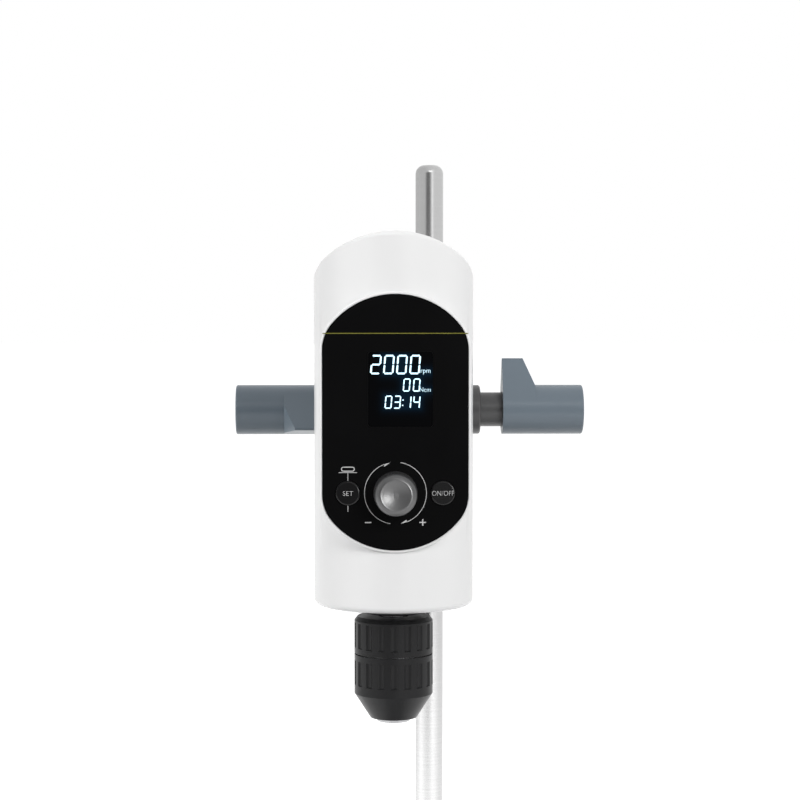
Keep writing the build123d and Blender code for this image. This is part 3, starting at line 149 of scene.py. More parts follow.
def moulded_grain_group():
    """Fine moulded or sprayed skin: a pitted height and a slow change of gloss."""
    helper, start, end = shader_group(
        "moulded_grain",
        [("Vector", "NodeSocketVector", None), ("Grain per metre", "NodeSocketFloat", 2500.0),
         ("Patch per metre", "NodeSocketFloat", 25.0)],
        [("Height", "NodeSocketFloat"), ("Patches", "NodeSocketFloat")])
    fine = helper.noise(start.outputs["Vector"], start.outputs["Grain per metre"], 3.0, 0.6)
    coarse_scale = helper.math("MULTIPLY", start.outputs["Grain per metre"], COARSE_GRAIN)
    coarse = helper.noise(start.outputs["Vector"], coarse_scale, 2.0)
    height = helper.math("ADD", helper.math("MULTIPLY", fine, 1.0 - COARSE_SHARE),
                         helper.math("MULTIPLY", coarse, COARSE_SHARE))
    patches = helper.noise(start.outputs["Vector"], start.outputs["Patch per metre"], 3.0, 0.55,
                           0.6)
    helper.link(height, end.inputs["Height"])
    helper.link(helper.ramp(patches, 0.3, 0.7), end.inputs["Patches"])
    return helper.tree


def turned_lines_group():
    """Fine tool lines: noise stretched by the given scales along each axis."""
    helper, start, end = shader_group(
        "turned_lines",
        [("Vector", "NodeSocketVector", None), ("Stretch", "NodeSocketVector", (1.0, 1.0, 1.0)),
         ("Lines per metre", "NodeSocketFloat", 1500.0)],
        [("Height", "NodeSocketFloat"), ("Shade", "NodeSocketFloat")])
    scaled = helper.add("ShaderNodeVectorMath", operation="MULTIPLY")
    helper.link(start.outputs["Vector"], scaled.inputs[0])
    helper.link(start.outputs["Stretch"], scaled.inputs[1])
    lines = helper.noise(scaled.outputs[0], start.outputs["Lines per metre"], 5.0, 0.65)
    slow_scale = helper.math("MULTIPLY", start.outputs["Lines per metre"], SLOW_LINES)
    slow = helper.noise(scaled.outputs[0], slow_scale, 2.0)
    helper.link(lines, end.inputs["Height"])
    both = helper.math("MULTIPLY", lines, helper.ramp(slow, 0.25, 0.75, 0.6, 1.0))
    helper.link(helper.ramp(both, 0.15, 0.6), end.inputs["Shade"])
    return helper.tree


def handling_group():
    """Faint smears and dust specks from handling, as one mask."""
    helper, start, end = shader_group(
        "handling",
        [("Vector", "NodeSocketVector", None), ("Smears per metre", "NodeSocketFloat", 40.0)],
        [("Mask", "NodeSocketFloat")])
    smears = helper.noise(start.outputs["Vector"], start.outputs["Smears per metre"], 6.0, 0.7, 1.4)
    speck_scale = helper.math("MULTIPLY", start.outputs["Smears per metre"], SPECK_SCALE)
    specks = helper.noise(start.outputs["Vector"], speck_scale, 1.0)
    mask = helper.math("ADD", helper.ramp(smears, 0.5, 0.75, 0.0, 0.8),
                       helper.ramp(specks, 0.72, 0.8, 0.0, 0.5), True)
    helper.link(mask, end.inputs["Mask"])
    return helper.tree


def row_glow_group():
    """Soft light round an upright rectangle of lit digits, by its centre and half size."""
    helper, start, end = shader_group(
        "row_glow",
        [("Vector", "NodeSocketVector", None), ("Centre", "NodeSocketVector", (0.0, 0.0, 0.0)),
         ("Half size", "NodeSocketVector", (0.01, 1.0, 0.01)),
         ("Spread", "NodeSocketFloat", 0.003)],
        [("Mask", "NodeSocketFloat")])
    offset = helper.add("ShaderNodeVectorMath", operation="SUBTRACT")
    helper.link(start.outputs["Vector"], offset.inputs[0])
    helper.link(start.outputs["Centre"], offset.inputs[1])
    away = helper.add("ShaderNodeVectorMath", operation="ABSOLUTE")
    helper.link(offset.outputs[0], away.inputs[0])
    beyond = helper.add("ShaderNodeVectorMath", operation="SUBTRACT")
    helper.link(away.outputs[0], beyond.inputs[0])
    helper.link(start.outputs["Half size"], beyond.inputs[1])
    outside = helper.add("ShaderNodeVectorMath", operation="MAXIMUM")
    helper.link(beyond.outputs[0], outside.inputs[0])
    distance = helper.add("ShaderNodeVectorMath", operation="LENGTH")
    helper.link(outside.outputs[0], distance.inputs[0])
    fade = helper.math("DIVIDE", distance.outputs["Value"], start.outputs["Spread"])
    faded = helper.math("POWER", FADE_BASE, helper.math("MULTIPLY", fade, -1.0))
    helper.link(faded, end.inputs["Mask"])
    return helper.tree


GRAIN = moulded_grain_group()
LINES = turned_lines_group()
HANDLING = handling_group()
ROW_GLOW = row_glow_group()


# ---- materials ---------------------------------------------------------------------------------

def blank_material(name, colour, roughness, metallic=0.0, specular=0.5):
    """Principled material with plain values on its sockets."""
    material = bpy.data.materials.new(name)
    material.use_nodes = True
    helper = Tree(material.node_tree)
    shader = material.node_tree.nodes["Principled BSDF"]
    shader.inputs["Base Color"].default_value = (*colour, 1.0)
    shader.inputs["Roughness"].default_value = roughness
    shader.inputs["Metallic"].default_value = metallic
    shader.inputs["Specular IOR Level"].default_value = specular
    material.diffuse_color = (*colour, 1.0)
    return material, helper, shader


def place(helper):
    """Object coordinates."""
    return helper.add("ShaderNodeTexCoord").outputs["Object"]


def use_group(helper, group, **values):
    """A shader group with its named inputs set or linked."""
    node = helper.add("ShaderNodeGroup", node_tree=group)
    for name, value in values.items():
        helper.link(value, node.inputs[name.replace("_", " ")])
    return node


def bump(helper, shader, height, strength, depth):
    """Feeds a height into the shader's normal."""
    node = helper.add("ShaderNodeBump")
    node.inputs["Strength"].default_value = strength
    node.inputs["Distance"].default_value = depth
    helper.link(height, node.inputs["Height"])
    helper.link(node.outputs["Normal"], shader.inputs["Normal"])


def tinted(helper, mask, dark, light):
    """Colour that runs from dark to light with a mask."""
    node = helper.add("ShaderNodeMix", data_type="RGBA")
    helper.link(mask, node.inputs["Factor"])
    node.inputs[6].default_value = (*dark, 1.0)
    node.inputs[7].default_value = (*light, 1.0)
    return node.outputs[2]


def shade(colour, factor):
    """A colour made darker or lighter."""
    return tuple(min(1.0, channel * factor) for channel in colour)


COAT_ROUGHNESS = 0.05


def skin(name, colour, roughness, grain=2500.0, depth=0.00002, strength=0.25, spread=0.06,
         specular=0.5, coat=0.0, contrast=0.04, smear=0.03):
    """Moulded plastic, paint or rubber: grain in the normal, patches in gloss and tone."""
    material, helper, shader = blank_material(name, colour, roughness, 0.0, specular)
    point = place(helper)
    skin_node = use_group(helper, GRAIN, Vector=point, Grain_per_metre=grain)
    marks = use_group(helper, HANDLING, Vector=point)
    patches = skin_node.outputs["Patches"]
    gloss = helper.ramp(patches, 0.0, 1.0, roughness - spread, roughness + spread)
    worn = helper.math("ADD", gloss, helper.math("MULTIPLY", marks.outputs["Mask"], smear), True)
    helper.link(worn, shader.inputs["Roughness"])
    colours = tinted(helper, patches, shade(colour, 1 - contrast), shade(colour, 1 + contrast))
    helper.link(colours, shader.inputs["Base Color"])
    shader.inputs["Coat Weight"].default_value = coat
    shader.inputs["Coat Roughness"].default_value = COAT_ROUGHNESS
    bump(helper, shader, skin_node.outputs["Height"], strength, depth)
    return material


METAL_LINES, METAL_DEPTH, METAL_STRENGTH, METAL_SMEAR = 1500.0, 0.00001, 0.2, 0.06


def metal(name, colour, roughness, stretch, contrast=0.25):
    """Turned or ground metal, with tool lines where the stretch is least."""
    material, helper, shader = blank_material(name, colour, roughness, 1.0)
    point = place(helper)
    tool = use_group(helper, LINES, Vector=point, Stretch=stretch, Lines_per_metre=METAL_LINES)
    marks = use_group(helper, HANDLING, Vector=point)
    colours = tinted(helper, tool.outputs["Shade"], shade(colour, 1 - contrast),
                     shade(colour, 1 + contrast * 0.4))
    helper.link(colours, shader.inputs["Base Color"])
    gloss = helper.ramp(tool.outputs["Shade"], 0.0, 1.0, roughness * 1.3, roughness * 0.8)
    smeared = helper.math("MULTIPLY", marks.outputs["Mask"], METAL_SMEAR)
    helper.link(helper.math("ADD", gloss, smeared, True), shader.inputs["Roughness"])
    bump(helper, shader, tool.outputs["Height"], METAL_STRENGTH, METAL_DEPTH)
    return material


INK_PATCHES = 900.0


def print_ink(name, colour, light=0.0):
    """Thin screen-printed ink, with a little broken edge in its tone; it can be lit."""
    material, helper, shader = blank_material(name, colour, 0.45)
    point = place(helper)
    patches = helper.noise(point, INK_PATCHES, 3.0, 0.6)
    tone = helper.ramp(patches, 0.3, 0.7)
    helper.link(tinted(helper, tone, shade(colour, 0.9), colour), shader.inputs["Base Color"])
    helper.link(helper.ramp(patches, 0.3, 0.7, 0.4, 0.5), shader.inputs["Roughness"])
    if light:
        helper.link(tinted(helper, tone, shade(colour, 0.94), colour),
                    shader.inputs["Emission Color"])
        shader.inputs["Emission Strength"].default_value = light
    return material


LENS_BLACK = (0.0014, 0.0015, 0.0018)
GLOW_BLUE, GLOW_SPREAD = (0.001, 0.0095, 0.021), 1.3


def lens_finish(rows):
    """Black display window with a faint blue light round each lit row."""
    material, helper, shader = blank_material("display_lens_finish", LENS_BLACK, 0.08, 0.0, 0.08)
    point = place(helper)
    total = 0.0
    for centre, half in rows:
        glow = use_group(helper, ROW_GLOW, Vector=point, Centre=centre, Half_size=half,
                         Spread=GLOW_SPREAD * MM)
        total = helper.math("ADD", total, glow.outputs["Mask"], True)
    helper.link(tinted(helper, total, (0.0, 0.0, 0.0), GLOW_BLUE), shader.inputs["Emission Color"])
    shader.inputs["Emission Strength"].default_value = 1.0
    marks = use_group(helper, HANDLING, Vector=point)
    helper.link(helper.ramp(marks.outputs["Mask"], 0.0, 1.0, 0.07, 0.15),
                shader.inputs["Roughness"])
    return material


LINES_ROUND = (0.35, 0.35, 12.0)    # tool lines that run round an upright piece
LINES_EVEN = (1.0, 1.0, 1.0)
FINISH = {
    "housing_white": skin("housing_white_finish", (0.80, 0.80, 0.80), 0.34, grain=1400.0,
                          depth=0.00002, strength=0.08, coat=0.5, contrast=0.006, specular=0.3),
    "panel_black": skin("panel_black_finish", (0.0030, 0.0030, 0.0032), 0.08, grain=300.0,
                        depth=0.00001, strength=0.03, spread=0.02, specular=0.1, contrast=0.1),
    "knob_grey": skin("knob_grey_finish", (0.038, 0.038, 0.039), 0.28, grain=3500.0,
                      strength=0.08, spread=0.03, specular=0.9),
    "button_black": skin("button_black_finish", (0.0028, 0.0028, 0.0030), 0.14, grain=400.0,
                         strength=0.03, spread=0.03, specular=0.3),
    "clamp_knob_blue_grey": skin("clamp_knob_finish", (0.136, 0.168, 0.198), 0.3, grain=3200.0,
                                 strength=0.2, specular=0.35, contrast=0.015, smear=0.0,
                                 spread=0.02),
    "clamp_dark": skin("clamp_dark_finish", (0.060, 0.060, 0.061), 0.36, grain=2600.0,
                       strength=0.2, specular=0.4),
    "base_paint": skin("base_paint_finish", (0.70, 0.71, 0.72), 0.45, grain=900.0,
                       depth=0.00006, strength=0.35),
    "foot_rubber": skin("foot_rubber_finish", (0.018, 0.018, 0.018), 0.75, grain=2200.0,
                        strength=0.5),
    "rod_steel": metal("rod_steel_finish", (0.56, 0.56, 0.56), 0.2, LINES_ROUND, contrast=0.12),
    "screw_steel": metal("screw_steel_finish", (0.42, 0.42, 0.43), 0.3, LINES_ROUND),
    "chuck_steel": metal("chuck_steel_finish", (0.40, 0.40, 0.41), 0.25, LINES_ROUND),
    "aluminium": metal("aluminium_finish", (0.62, 0.62, 0.63), 0.36, LINES_EVEN, contrast=0.15),
    "sleeve_black": skin("sleeve_black_finish", (0.0065, 0.0065, 0.007), 0.36, grain=3000.0,
                         strength=0.2, specular=0.22),
    "bearing_black": skin("bearing_black_finish", (0.018, 0.018, 0.018), 0.4, grain=2600.0),
    "circuit_green": skin("circuit_green_finish", (0.02, 0.10, 0.045), 0.35, grain=1500.0,
                          contrast=0.2),
    "part_black": skin("part_black_finish", (0.02, 0.02, 0.021), 0.5, grain=2500.0),
    "inlet_black": skin("inlet_black_finish", (0.016, 0.016, 0.017), 0.45, grain=3000.0),
}
PRINT_WHITE = print_ink("print_white_finish", (0.56, 0.56, 0.56))
PRINT_YELLOW = print_ink("print_yellow_finish", (0.16, 0.152, 0.018))
DIGIT_LIGHT = print_ink("digit_light_finish", (0.62, 0.88, 1.0), light=1.0)


# Centre and half size of what is lit, in millimetres across the panel and up from the head's edge.
GLOW_ROWS = (((0.05, 127.9), (6.5, 5.0)), ((8.2, 117.5), (4.6, 3.3)), ((3.6, 108.9), (9.2, 3.3)),
             ((15.3, 124.1), (2.5, 1.2)), ((15.1, 114.95), (2.6, 0.8)))


def glow_rows():
    """The lit rows in metres, for the light that spreads round them."""
    return [((PANEL_X + x * MM, 0.0, HEAD_LOW + z * MM), (wide * MM, 1.0, tall * MM))
            for (x, z), (wide, tall) in GLOW_ROWS]


LENS_FINISH = lens_finish(glow_rows())


# ---- finished copies of the solids -------------------------------------------------------------

SHARP = radians(32.0)               # edges that turn more than this are soft-edged, not shaded over
MERGE = 2e-6                        # loose corners nearer than this become one
FLAT = radians(0.3)                 # facets that turn less than this become one face
CRISP = ("rod_clamp_knob", "arm_clamp_knob")
WIDE_FACE, CRISP_TURN = 4e-5, radians(1.5)   # their flat faces of this area keep crisp edges
EDGE_STEPS, NORMAL_WEIGHT = 2, 100
DISH_RINGS = 9


def finished_mesh(obj):
    """The object's mesh with its modifiers worked in."""
    graph = bpy.context.evaluated_depsgraph_get()
    return bpy.data.meshes.new_from_object(obj.evaluated_get(graph))


def show(mesh, name):
    """A new object for a mesh, in the scene."""
    obj = bpy.data.objects.new(name, mesh)
    bpy.context.scene.collection.objects.link(obj)
    return obj


def settle(obj):
    """Swaps an object's modifiers for the mesh that they make."""
    mesh = finished_mesh(obj)
    obj.modifiers.clear()
    obj.data = mesh


def merged_copy(node):
    """A copy of a node's mesh with its loose triangles joined and its flat faces made whole."""
    mesh = NODES[node].data.copy()
    work = bmesh.new()
    work.from_mesh(mesh)
    bmesh.ops.remove_doubles(work, verts=work.verts, dist=MERGE)
    bmesh.ops.dissolve_limit(work, angle_limit=FLAT, verts=work.verts, edges=work.edges,
                             delimit={"NORMAL"})
    for face in work.faces:
        face.smooth = True
    for edge in work.edges:
        limit = SHARP
        widest = max((face.calc_area() for face in edge.link_faces), default=0.0)
        if node in CRISP and widest > WIDE_FACE:
            limit = CRISP_TURN
        edge.smooth = not (edge.is_manifold and edge.calc_face_angle(0.0) > limit)
    work.to_mesh(mesh)
    work.free()
    return mesh


def dished(mesh, depth):
    """Sinks a mesh's flat front face into a shallow round dish."""
    work = bmesh.new()
    work.from_mesh(mesh)
    front = min(work.faces, key=lambda face: face.calc_center_median().y)
    centre = front.calc_center_median()
    radius = max((vertex.co - centre).length for vertex in front.verts)
    for ring in range(1, DISH_RINGS + 1):
        bmesh.ops.inset_individual(work, faces=[front], thickness=radius / (DISH_RINGS + 1))
        share = 1.0 - ring / (DISH_RINGS + 1)
        for vertex in front.verts:
            vertex.co.y = centre.y + depth * (1.0 - share ** 2)
    for face in work.faces:
        face.smooth = True
    work.to_mesh(mesh)
    work.free()


def dress(node, material, soften, dish):
    """Replaces a CAD node with a finished copy; the soft edge and the dish are in millimetres."""
    mesh = merged_copy(node)
    if dish:
        dished(mesh, dish * MM)
    piece = show(mesh, node + "_finished")
    mesh.materials.clear()
    mesh.materials.append(material)
    for face in mesh.polygons:
        face.material_index = 0
    if soften:
        edge = piece.modifiers.new("soft_edges", "BEVEL")
        edge.width = soften * MM
        edge.segments = EDGE_STEPS
        edge.limit_method = "ANGLE"
        edge.angle_limit = SHARP
        edge.use_clamp_overlap = True
        edge.harden_normals = True
    normals = piece.modifiers.new("even_shading", "WEIGHTED_NORMAL")
    normals.keep_sharp = True
    normals.weight = NORMAL_WEIGHT
    settle(piece)
    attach(piece, BODY_OF[node])
    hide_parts(node)


SOFT = {
    "base_plate": 0.9, "base_feet": 0.5, "rod_boss": 0.4, "rod_washer": 0.1, "clamp_block": 0.3,
    "rod_clamp_bush": 0.3, "arm_clamp_bush": 0.3, "rod_clamp_knob": 0.35, "arm_clamp_knob": 0.35,
    "arm_flange": 0.2, "front_housing": 0.12, "rear_housing": 0.25, "control_panel": 0.12,
    "bottom_plate": 0.15, "bearing_housing": 0.15, "control_knob": 0.12, "set_button": 0.4,
    "on_off_button": 0.4, "chuck_body": 0.1, "chuck_rear_sleeve": 0.12, "chuck_front_sleeve": 0.12,
    "chuck_jaw_1": 0.08, "chuck_jaw_2": 0.08, "chuck_jaw_3": 0.08, "spindle": 0.08,
    "power_inlet": 0.12,
}
DISHED = {"control_knob": 0.9}
for node in NODES:
    finish = LENS_FINISH if node == "display_lens" else FINISH[SLOT_OF[node]]
    dress(node, finish, SOFT.get(node, 0.0), DISHED.get(node, 0.0))


# ---- printing on the panel ---------------------------------------------------------------------

INK = 0.04 * MM
LETTER_SIZE, LETTER_THIN = 1.38, 0.05   # size for each letter height; how much strokes are slimmed
# Sizes and places in millimetres, across from the panel's middle and up from the head's edge.
LINE_UP, LINE_WIDE, LINE_IN = 143.8, 0.45, 0.15
RING_RADIUS, RING_WIDE, RING_GAP = 15.8, 0.32, 2.6
ARROW_LONG, ARROW_BARB, ARROW_OVERLAP = 3.6, 1.1, 0.8
SIGN_ACROSS, SIGN_UP, SIGN_WIDE, SIGN_THICK = 13.9, 47.5, 3.3, 0.6
KEY_SIGN_UP, KEY_EDGE = 12.3, 6.3
KEY_SIGN_OUTER, KEY_SIGN_INNER = (7.0, 2.5), (6.1, 1.6)
KEY_SIGN_BARS = ((-4.7, KEY_SIGN_UP - 1.9, 4.7, KEY_SIGN_UP - 1.62),
                 (-0.15, KEY_EDGE, 0.15, KEY_SIGN_UP - 1.8),
                 (-0.15, -KEY_EDGE - 3.2, 0.15, -KEY_EDGE))
KEY_WORDS = (("set_word", "SET", SET_KEY, 2.3, 5.2, "set_button"),
             ("on_off_word", "ON/OFF", ON_OFF_KEY, 2.4, 11.2, "on_off_button"))


def panel_point(across, up):
    """A place on the panel in metres, from millimetres across and up."""
    return PANEL_X + across * MM, HEAD_LOW + up * MM


def flat_shape(name, outlines):
    """Ink on the panel from closed outlines in X and Z, front towards -Y."""
    curve = bpy.data.curves.new(name, "CURVE")
    curve.dimensions = "2D"
    curve.fill_mode = "BOTH"
    curve.extrude = INK / 2
    for outline in outlines:
        line = curve.splines.new("POLY")
        line.points.add(len(outline) - 1)
        for point, (x, z) in zip(line.points, outline):
            point.co = (x, z, 0.0, 1.0)
        line.use_cyclic_u = True
    return stood_up(show(curve, name), PANEL_FACE)


def stood_up(flat, back_y):
    """Makes a flat curve or text a mesh, stood upright with its back on the given Y."""
    mesh = finished_mesh(flat)
    upright = Matrix.Rotation(pi / 2, 4, "X")
    mesh.transform(Matrix.Translation((0.0, back_y - INK / 2, 0.0)) @ upright)
    name = flat.name
    data = flat.data
    bpy.data.objects.remove(flat)
    bpy.data.curves.remove(data)
    return show(mesh, name)


def printed(piece, material, body="head"):
    """Gives a printed or lit piece its material and body."""
    piece.data.materials.clear()
    piece.data.materials.append(material)
    for face in piece.data.polygons:
        face.material_index = 0
    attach(piece, body)


def box_line(x0, z0, x1, z1):
    """Closed outline of an upright rectangle."""
    return [(x0, z0), (x1, z0), (x1, z1), (x0, z1)]


def ring_arc(centre, radius, width, start, end, steps=48):
    """Closed outline of a part of a ring, by its angles in degrees."""
    turns = [radians(start + (end - start) * step / steps) for step in range(steps + 1)]
    outer, inner = ([(centre[0] + edge * cos(turn), centre[1] + edge * sin(turn)) for turn in turns]
                    for edge in (radius + width / 2, radius - width / 2))
    return outer + inner[::-1]


def lettering(name, text, centre, height, width, back_y):
    """A word in a plain face, fitted to a height and width round a centre in X and Z."""
    curve = bpy.data.curves.new(name, "FONT")
    curve.body = text
    curve.size = height * LETTER_SIZE
    curve.offset = -LETTER_THIN * MM
    curve.extrude = INK / 2
    piece = stood_up(show(curve, name), back_y)
    xs = [vertex.co.x for vertex in piece.data.vertices]
    zs = [vertex.co.z for vertex in piece.data.vertices]
    wide, tall = max(xs) - min(xs), max(zs) - min(zs)
    for vertex in piece.data.vertices:
        vertex.co.x = centre[0] + (vertex.co.x - (max(xs) + min(xs)) / 2) * width / wide
        vertex.co.z = centre[1] + (vertex.co.z - (max(zs) + min(zs)) / 2) * height / tall
    return piece


def print_panel_line():
    """Yellow line across the panel over the display."""
    x0, z0 = panel_point(-PANEL_HALF / MM + LINE_IN, LINE_UP - LINE_WIDE / 2)
    x1, z1 = panel_point(PANEL_HALF / MM - LINE_IN, LINE_UP + LINE_WIDE / 2)
    printed(flat_shape("panel_line", [box_line(x0, z0, x1, z1)]), PRINT_YELLOW)


def print_dial_ring():
    """Two arcs round the dial, each with an arrowhead at its clockwise end."""
    centre = (DIAL.x, DIAL.z)
    radius, width = RING_RADIUS * MM, RING_WIDE * MM
    gap = asin(RING_GAP / RING_RADIUS) * 180 / pi
    head_turn = ARROW_LONG / RING_RADIUS * 180 / pi
    outlines = []
    for tip in (90 + gap, -90 + gap):
        outlines.append(ring_arc(centre, radius, width, tip + head_turn * ARROW_OVERLAP,
                                 tip + 180 - 2 * gap))
        barb, point = radians(tip + head_turn), radians(tip)
        corners = ((radius, point), (radius + width / 2, barb), (radius - ARROW_BARB * MM, barb))
        outlines.append([(centre[0] + reach * cos(turn), centre[1] + reach * sin(turn))
                         for reach, turn in corners])
    pieces = [flat_shape("ring_" + str(count), [outline]) for count, outline in enumerate(outlines)]
    printed(joined(pieces, "dial_ring"), PRINT_WHITE)


def print_signs():
    """Minus and plus under the dial's ring."""
    half, thin = SIGN_WIDE / 2, SIGN_THICK / 2
    left, level = panel_point(-SIGN_ACROSS - half, SIGN_UP - thin)
    right, top = panel_point(-SIGN_ACROSS + half, SIGN_UP + thin)
    minus = flat_shape("minus_sign", [box_line(left, level, right, top)])
    printed(minus, PRINT_WHITE)
    corners = [(-half, -thin), (-thin, -thin), (-thin, -half), (thin, -half), (thin, -thin),
               (half, -thin), (half, thin), (thin, thin), (thin, half), (-thin, half),
               (-thin, thin), (-half, thin)]
    outline = [panel_point(SIGN_ACROSS + x, SIGN_UP + z) for x, z in corners]
    printed(flat_shape("plus_sign", [outline]), PRINT_WHITE)


def rounded_bar(centre, wide, tall, steps=12):
    """Closed outline of a bar with round ends."""
    radius = tall / 2
    reach = wide / 2 - radius
    turns = [pi * step / steps for step in range(steps + 1)]
    return [(centre[0] + side * (reach + radius * sin(turn)), centre[1] + side * radius * cos(turn))
            for side in (1, -1) for turn in turns]


def print_key_sign():
    """Pressed-key sign over the set key, with lines that lead to the key."""
    x, up = (SET_KEY.x - PANEL_X) / MM, (SET_KEY.z - HEAD_LOW) / MM
    key = panel_point(x, up + KEY_SIGN_UP)
    rings = [rounded_bar(key, wide * MM, tall * MM)
             for wide, tall in (KEY_SIGN_OUTER, KEY_SIGN_INNER)]
    pieces = [flat_shape("key_sign_ring", rings)]
    for count, (x0, z0, x1, z1) in enumerate(KEY_SIGN_BARS):
        low, high = panel_point(x + x0, up + z0), panel_point(x + x1, up + z1)
        pieces.append(flat_shape("key_sign_" + str(count), [box_line(*low, *high)]))
    printed(joined(pieces, "key_sign"), PRINT_WHITE)


def joined(pieces, name):
    """One mesh from several."""
    work = bmesh.new()
    for piece in pieces:
        work.from_mesh(piece.data)
        mesh = piece.data
        bpy.data.objects.remove(piece)
        bpy.data.meshes.remove(mesh)
    mesh = bpy.data.meshes.new(name)
    work.to_mesh(mesh)
    work.free()
    return show(mesh, name)


print_panel_line()
print_dial_ring()
print_signs()
print_key_sign()
for name, text, key, tall, wide, node in KEY_WORDS:
    word = lettering(name, text, (key.x, key.z), tall * MM, wide * MM, KEY_FACE)
    printed(word, PRINT_WHITE, BODY_OF[node])


# ---- lit display -------------------------------------------------------------------------------

DIGIT_SLANT = radians(4.6)
BAR_SHARE, BAR_TIP = 0.93, 0.08     # a bar's length between its corners; how much of it is pointed
# Each bar's middle, across and up as shares of the digit, and 1 where it stands upright.
SEGMENTS = {"top": (0.5, 1.0, 0), "upper_left": (0.0, 0.75, 1), "upper_right": (1.0, 0.75, 1),
            "middle": (0.5, 0.5, 0), "lower_left": (0.0, 0.25, 1), "lower_right": (1.0, 0.25, 1),
            "bottom": (0.5, 0.0, 0)}
LIT = {"0": ("top", "upper_left", "upper_right", "lower_left", "lower_right", "bottom"),
       "1": ("upper_right", "lower_right"),
       "2": ("top", "upper_right", "middle", "lower_left", "bottom"),
       "3": ("top", "upper_right", "middle", "lower_right", "bottom"),
       "4": ("upper_left", "upper_right", "middle", "lower_right")}


def segment_mesh():
    """One lit bar of a digit, 1 long and 1 wide, with pointed ends."""
    square = 0.5 - BAR_TIP
    outline = [(-0.5, 0.0), (-square, 0.5), (square, 0.5), (0.5, 0.0), (square, -0.5),
               (-square, -0.5)]
    work = bmesh.new()
    back = work.faces.new([work.verts.new((x, y, 0.0)) for x, y in outline])
    front = bmesh.ops.extrude_face_region(work, geom=[back])
    raised = [item for item in front["geom"] if isinstance(item, bmesh.types.BMVert)]
    bmesh.ops.translate(work, verts=raised, vec=(0.0, 0.0, 1.0))
    bmesh.ops.recalc_face_normals(work, faces=work.faces)
    mesh = bpy.data.meshes.new("digit_bar")
    work.to_mesh(mesh)
    work.free()
    return mesh


def digit_tree():
    """Geometry nodes: a bar on every point, turned, stretched and thickened as the point says."""
    tree = bpy.data.node_groups.new("lit_bars", "GeometryNodeTree")
    for label, kind in (("Points", "NodeSocketGeometry"), ("Bar", "NodeSocketObject"),
                        ("Stroke", "NodeSocketFloat"), ("Thickness", "NodeSocketFloat"),
                        ("Material", "NodeSocketMaterial")):
        tree.interface.new_socket(label, in_out="INPUT", socket_type=kind)
    tree.interface.new_socket("Bars", in_out="OUTPUT", socket_type="NodeSocketGeometry")
    helper = Tree(tree)
    start, end = helper.add("NodeGroupInput"), helper.add("NodeGroupOutput")
    shape = helper.add("GeometryNodeObjectInfo")
    helper.link(start.outputs["Bar"], shape.inputs["Object"])
    reads = {}
    for name in ("turn", "length"):
        read = helper.add("GeometryNodeInputNamedAttribute", data_type="FLOAT")
        read.inputs["Name"].default_value = name
        reads[name] = read.outputs["Attribute"]
    turn = helper.add("ShaderNodeCombineXYZ")
    helper.link(reads["turn"], turn.inputs["Z"])
    scale = helper.add("ShaderNodeCombineXYZ")
    helper.link(reads["length"], scale.inputs["X"])
    helper.link(start.outputs["Stroke"], scale.inputs["Y"])
    helper.link(start.outputs["Thickness"], scale.inputs["Z"])
    spread = helper.add("GeometryNodeInstanceOnPoints")
    helper.link(start.outputs["Points"], spread.inputs["Points"])
    helper.link(shape.outputs["Geometry"], spread.inputs["Instance"])
    helper.link(turn.outputs["Vector"], spread.inputs["Rotation"])
    helper.link(scale.outputs["Vector"], spread.inputs["Scale"])
    real = helper.add("GeometryNodeRealizeInstances")
    helper.link(spread.outputs["Instances"], real.inputs["Geometry"])
    paint = helper.add("GeometryNodeSetMaterial")
    helper.link(real.outputs["Geometry"], paint.inputs["Geometry"])
    helper.link(start.outputs["Material"], paint.inputs["Material"])
    helper.link(paint.outputs["Geometry"], end.inputs["Bars"])
    return tree


def tree_inputs(tree):
    """Identifier of each named input."""
    items = tree.interface.items_tree
    return {item.name: item.identifier for item in items if item.in_out == "INPUT"}


def digit_points(text, lefts, low, wide, tall, stroke):
    """Middle, turn and length of every lit bar in a row of digits, in millimetres."""
    bars = []
    for digit, left in zip(text, lefts):
        for name in LIT[digit]:
            across, up, upright = SEGMENTS[name]
            x = left + stroke / 2 + across * (wide - stroke)
            z = low + stroke / 2 + up * (tall - stroke)
            length = (tall - stroke) / 2 if upright else wide - stroke
            bars.append((x, z, upright * pi / 2, length * BAR_SHARE))
    return bars


def lit_row(name, text, lefts, low, wide, tall, stroke, dots):
    """One row of digits on the display lens; sizes in millimetres on the panel."""
    bars = digit_points(text, lefts, low, wide, tall, stroke)
    bars += [(x, z, 0.0, stroke) for x, z in dots]
    mesh = bpy.data.meshes.new(name)
    mesh.from_pydata([(x * MM, z * MM, 0.0) for x, z, turn, length in bars], [], [])
    for label, values in (("turn", [bar[2] for bar in bars]),
                          ("length", [bar[3] * MM for bar in bars])):
        mesh.attributes.new(label, "FLOAT", "POINT").data.foreach_set("value", values)
    row = show(mesh, name)
    step = row.modifiers.new("bars", "NODES")
    step.node_group = BAR_TREE
    keys = tree_inputs(BAR_TREE)
    for label, value in (("Bar", BAR_OBJECT), ("Stroke", stroke * MM), ("Thickness", INK),
                         ("Material", DIGIT_LIGHT)):
        step[keys[label]] = value
    settle(row)
    for vertex in row.data.vertices:
        x, z, raised = vertex.co
        lean = (z - low * MM) * tan(DIGIT_SLANT)
        vertex.co = (PANEL_X + x + lean, LENS_FACE - raised, HEAD_LOW + z)
    printed(row, DIGIT_LIGHT)


BAR_TREE = digit_tree()
BAR_OBJECT = show(segment_mesh(), "digit_bar")
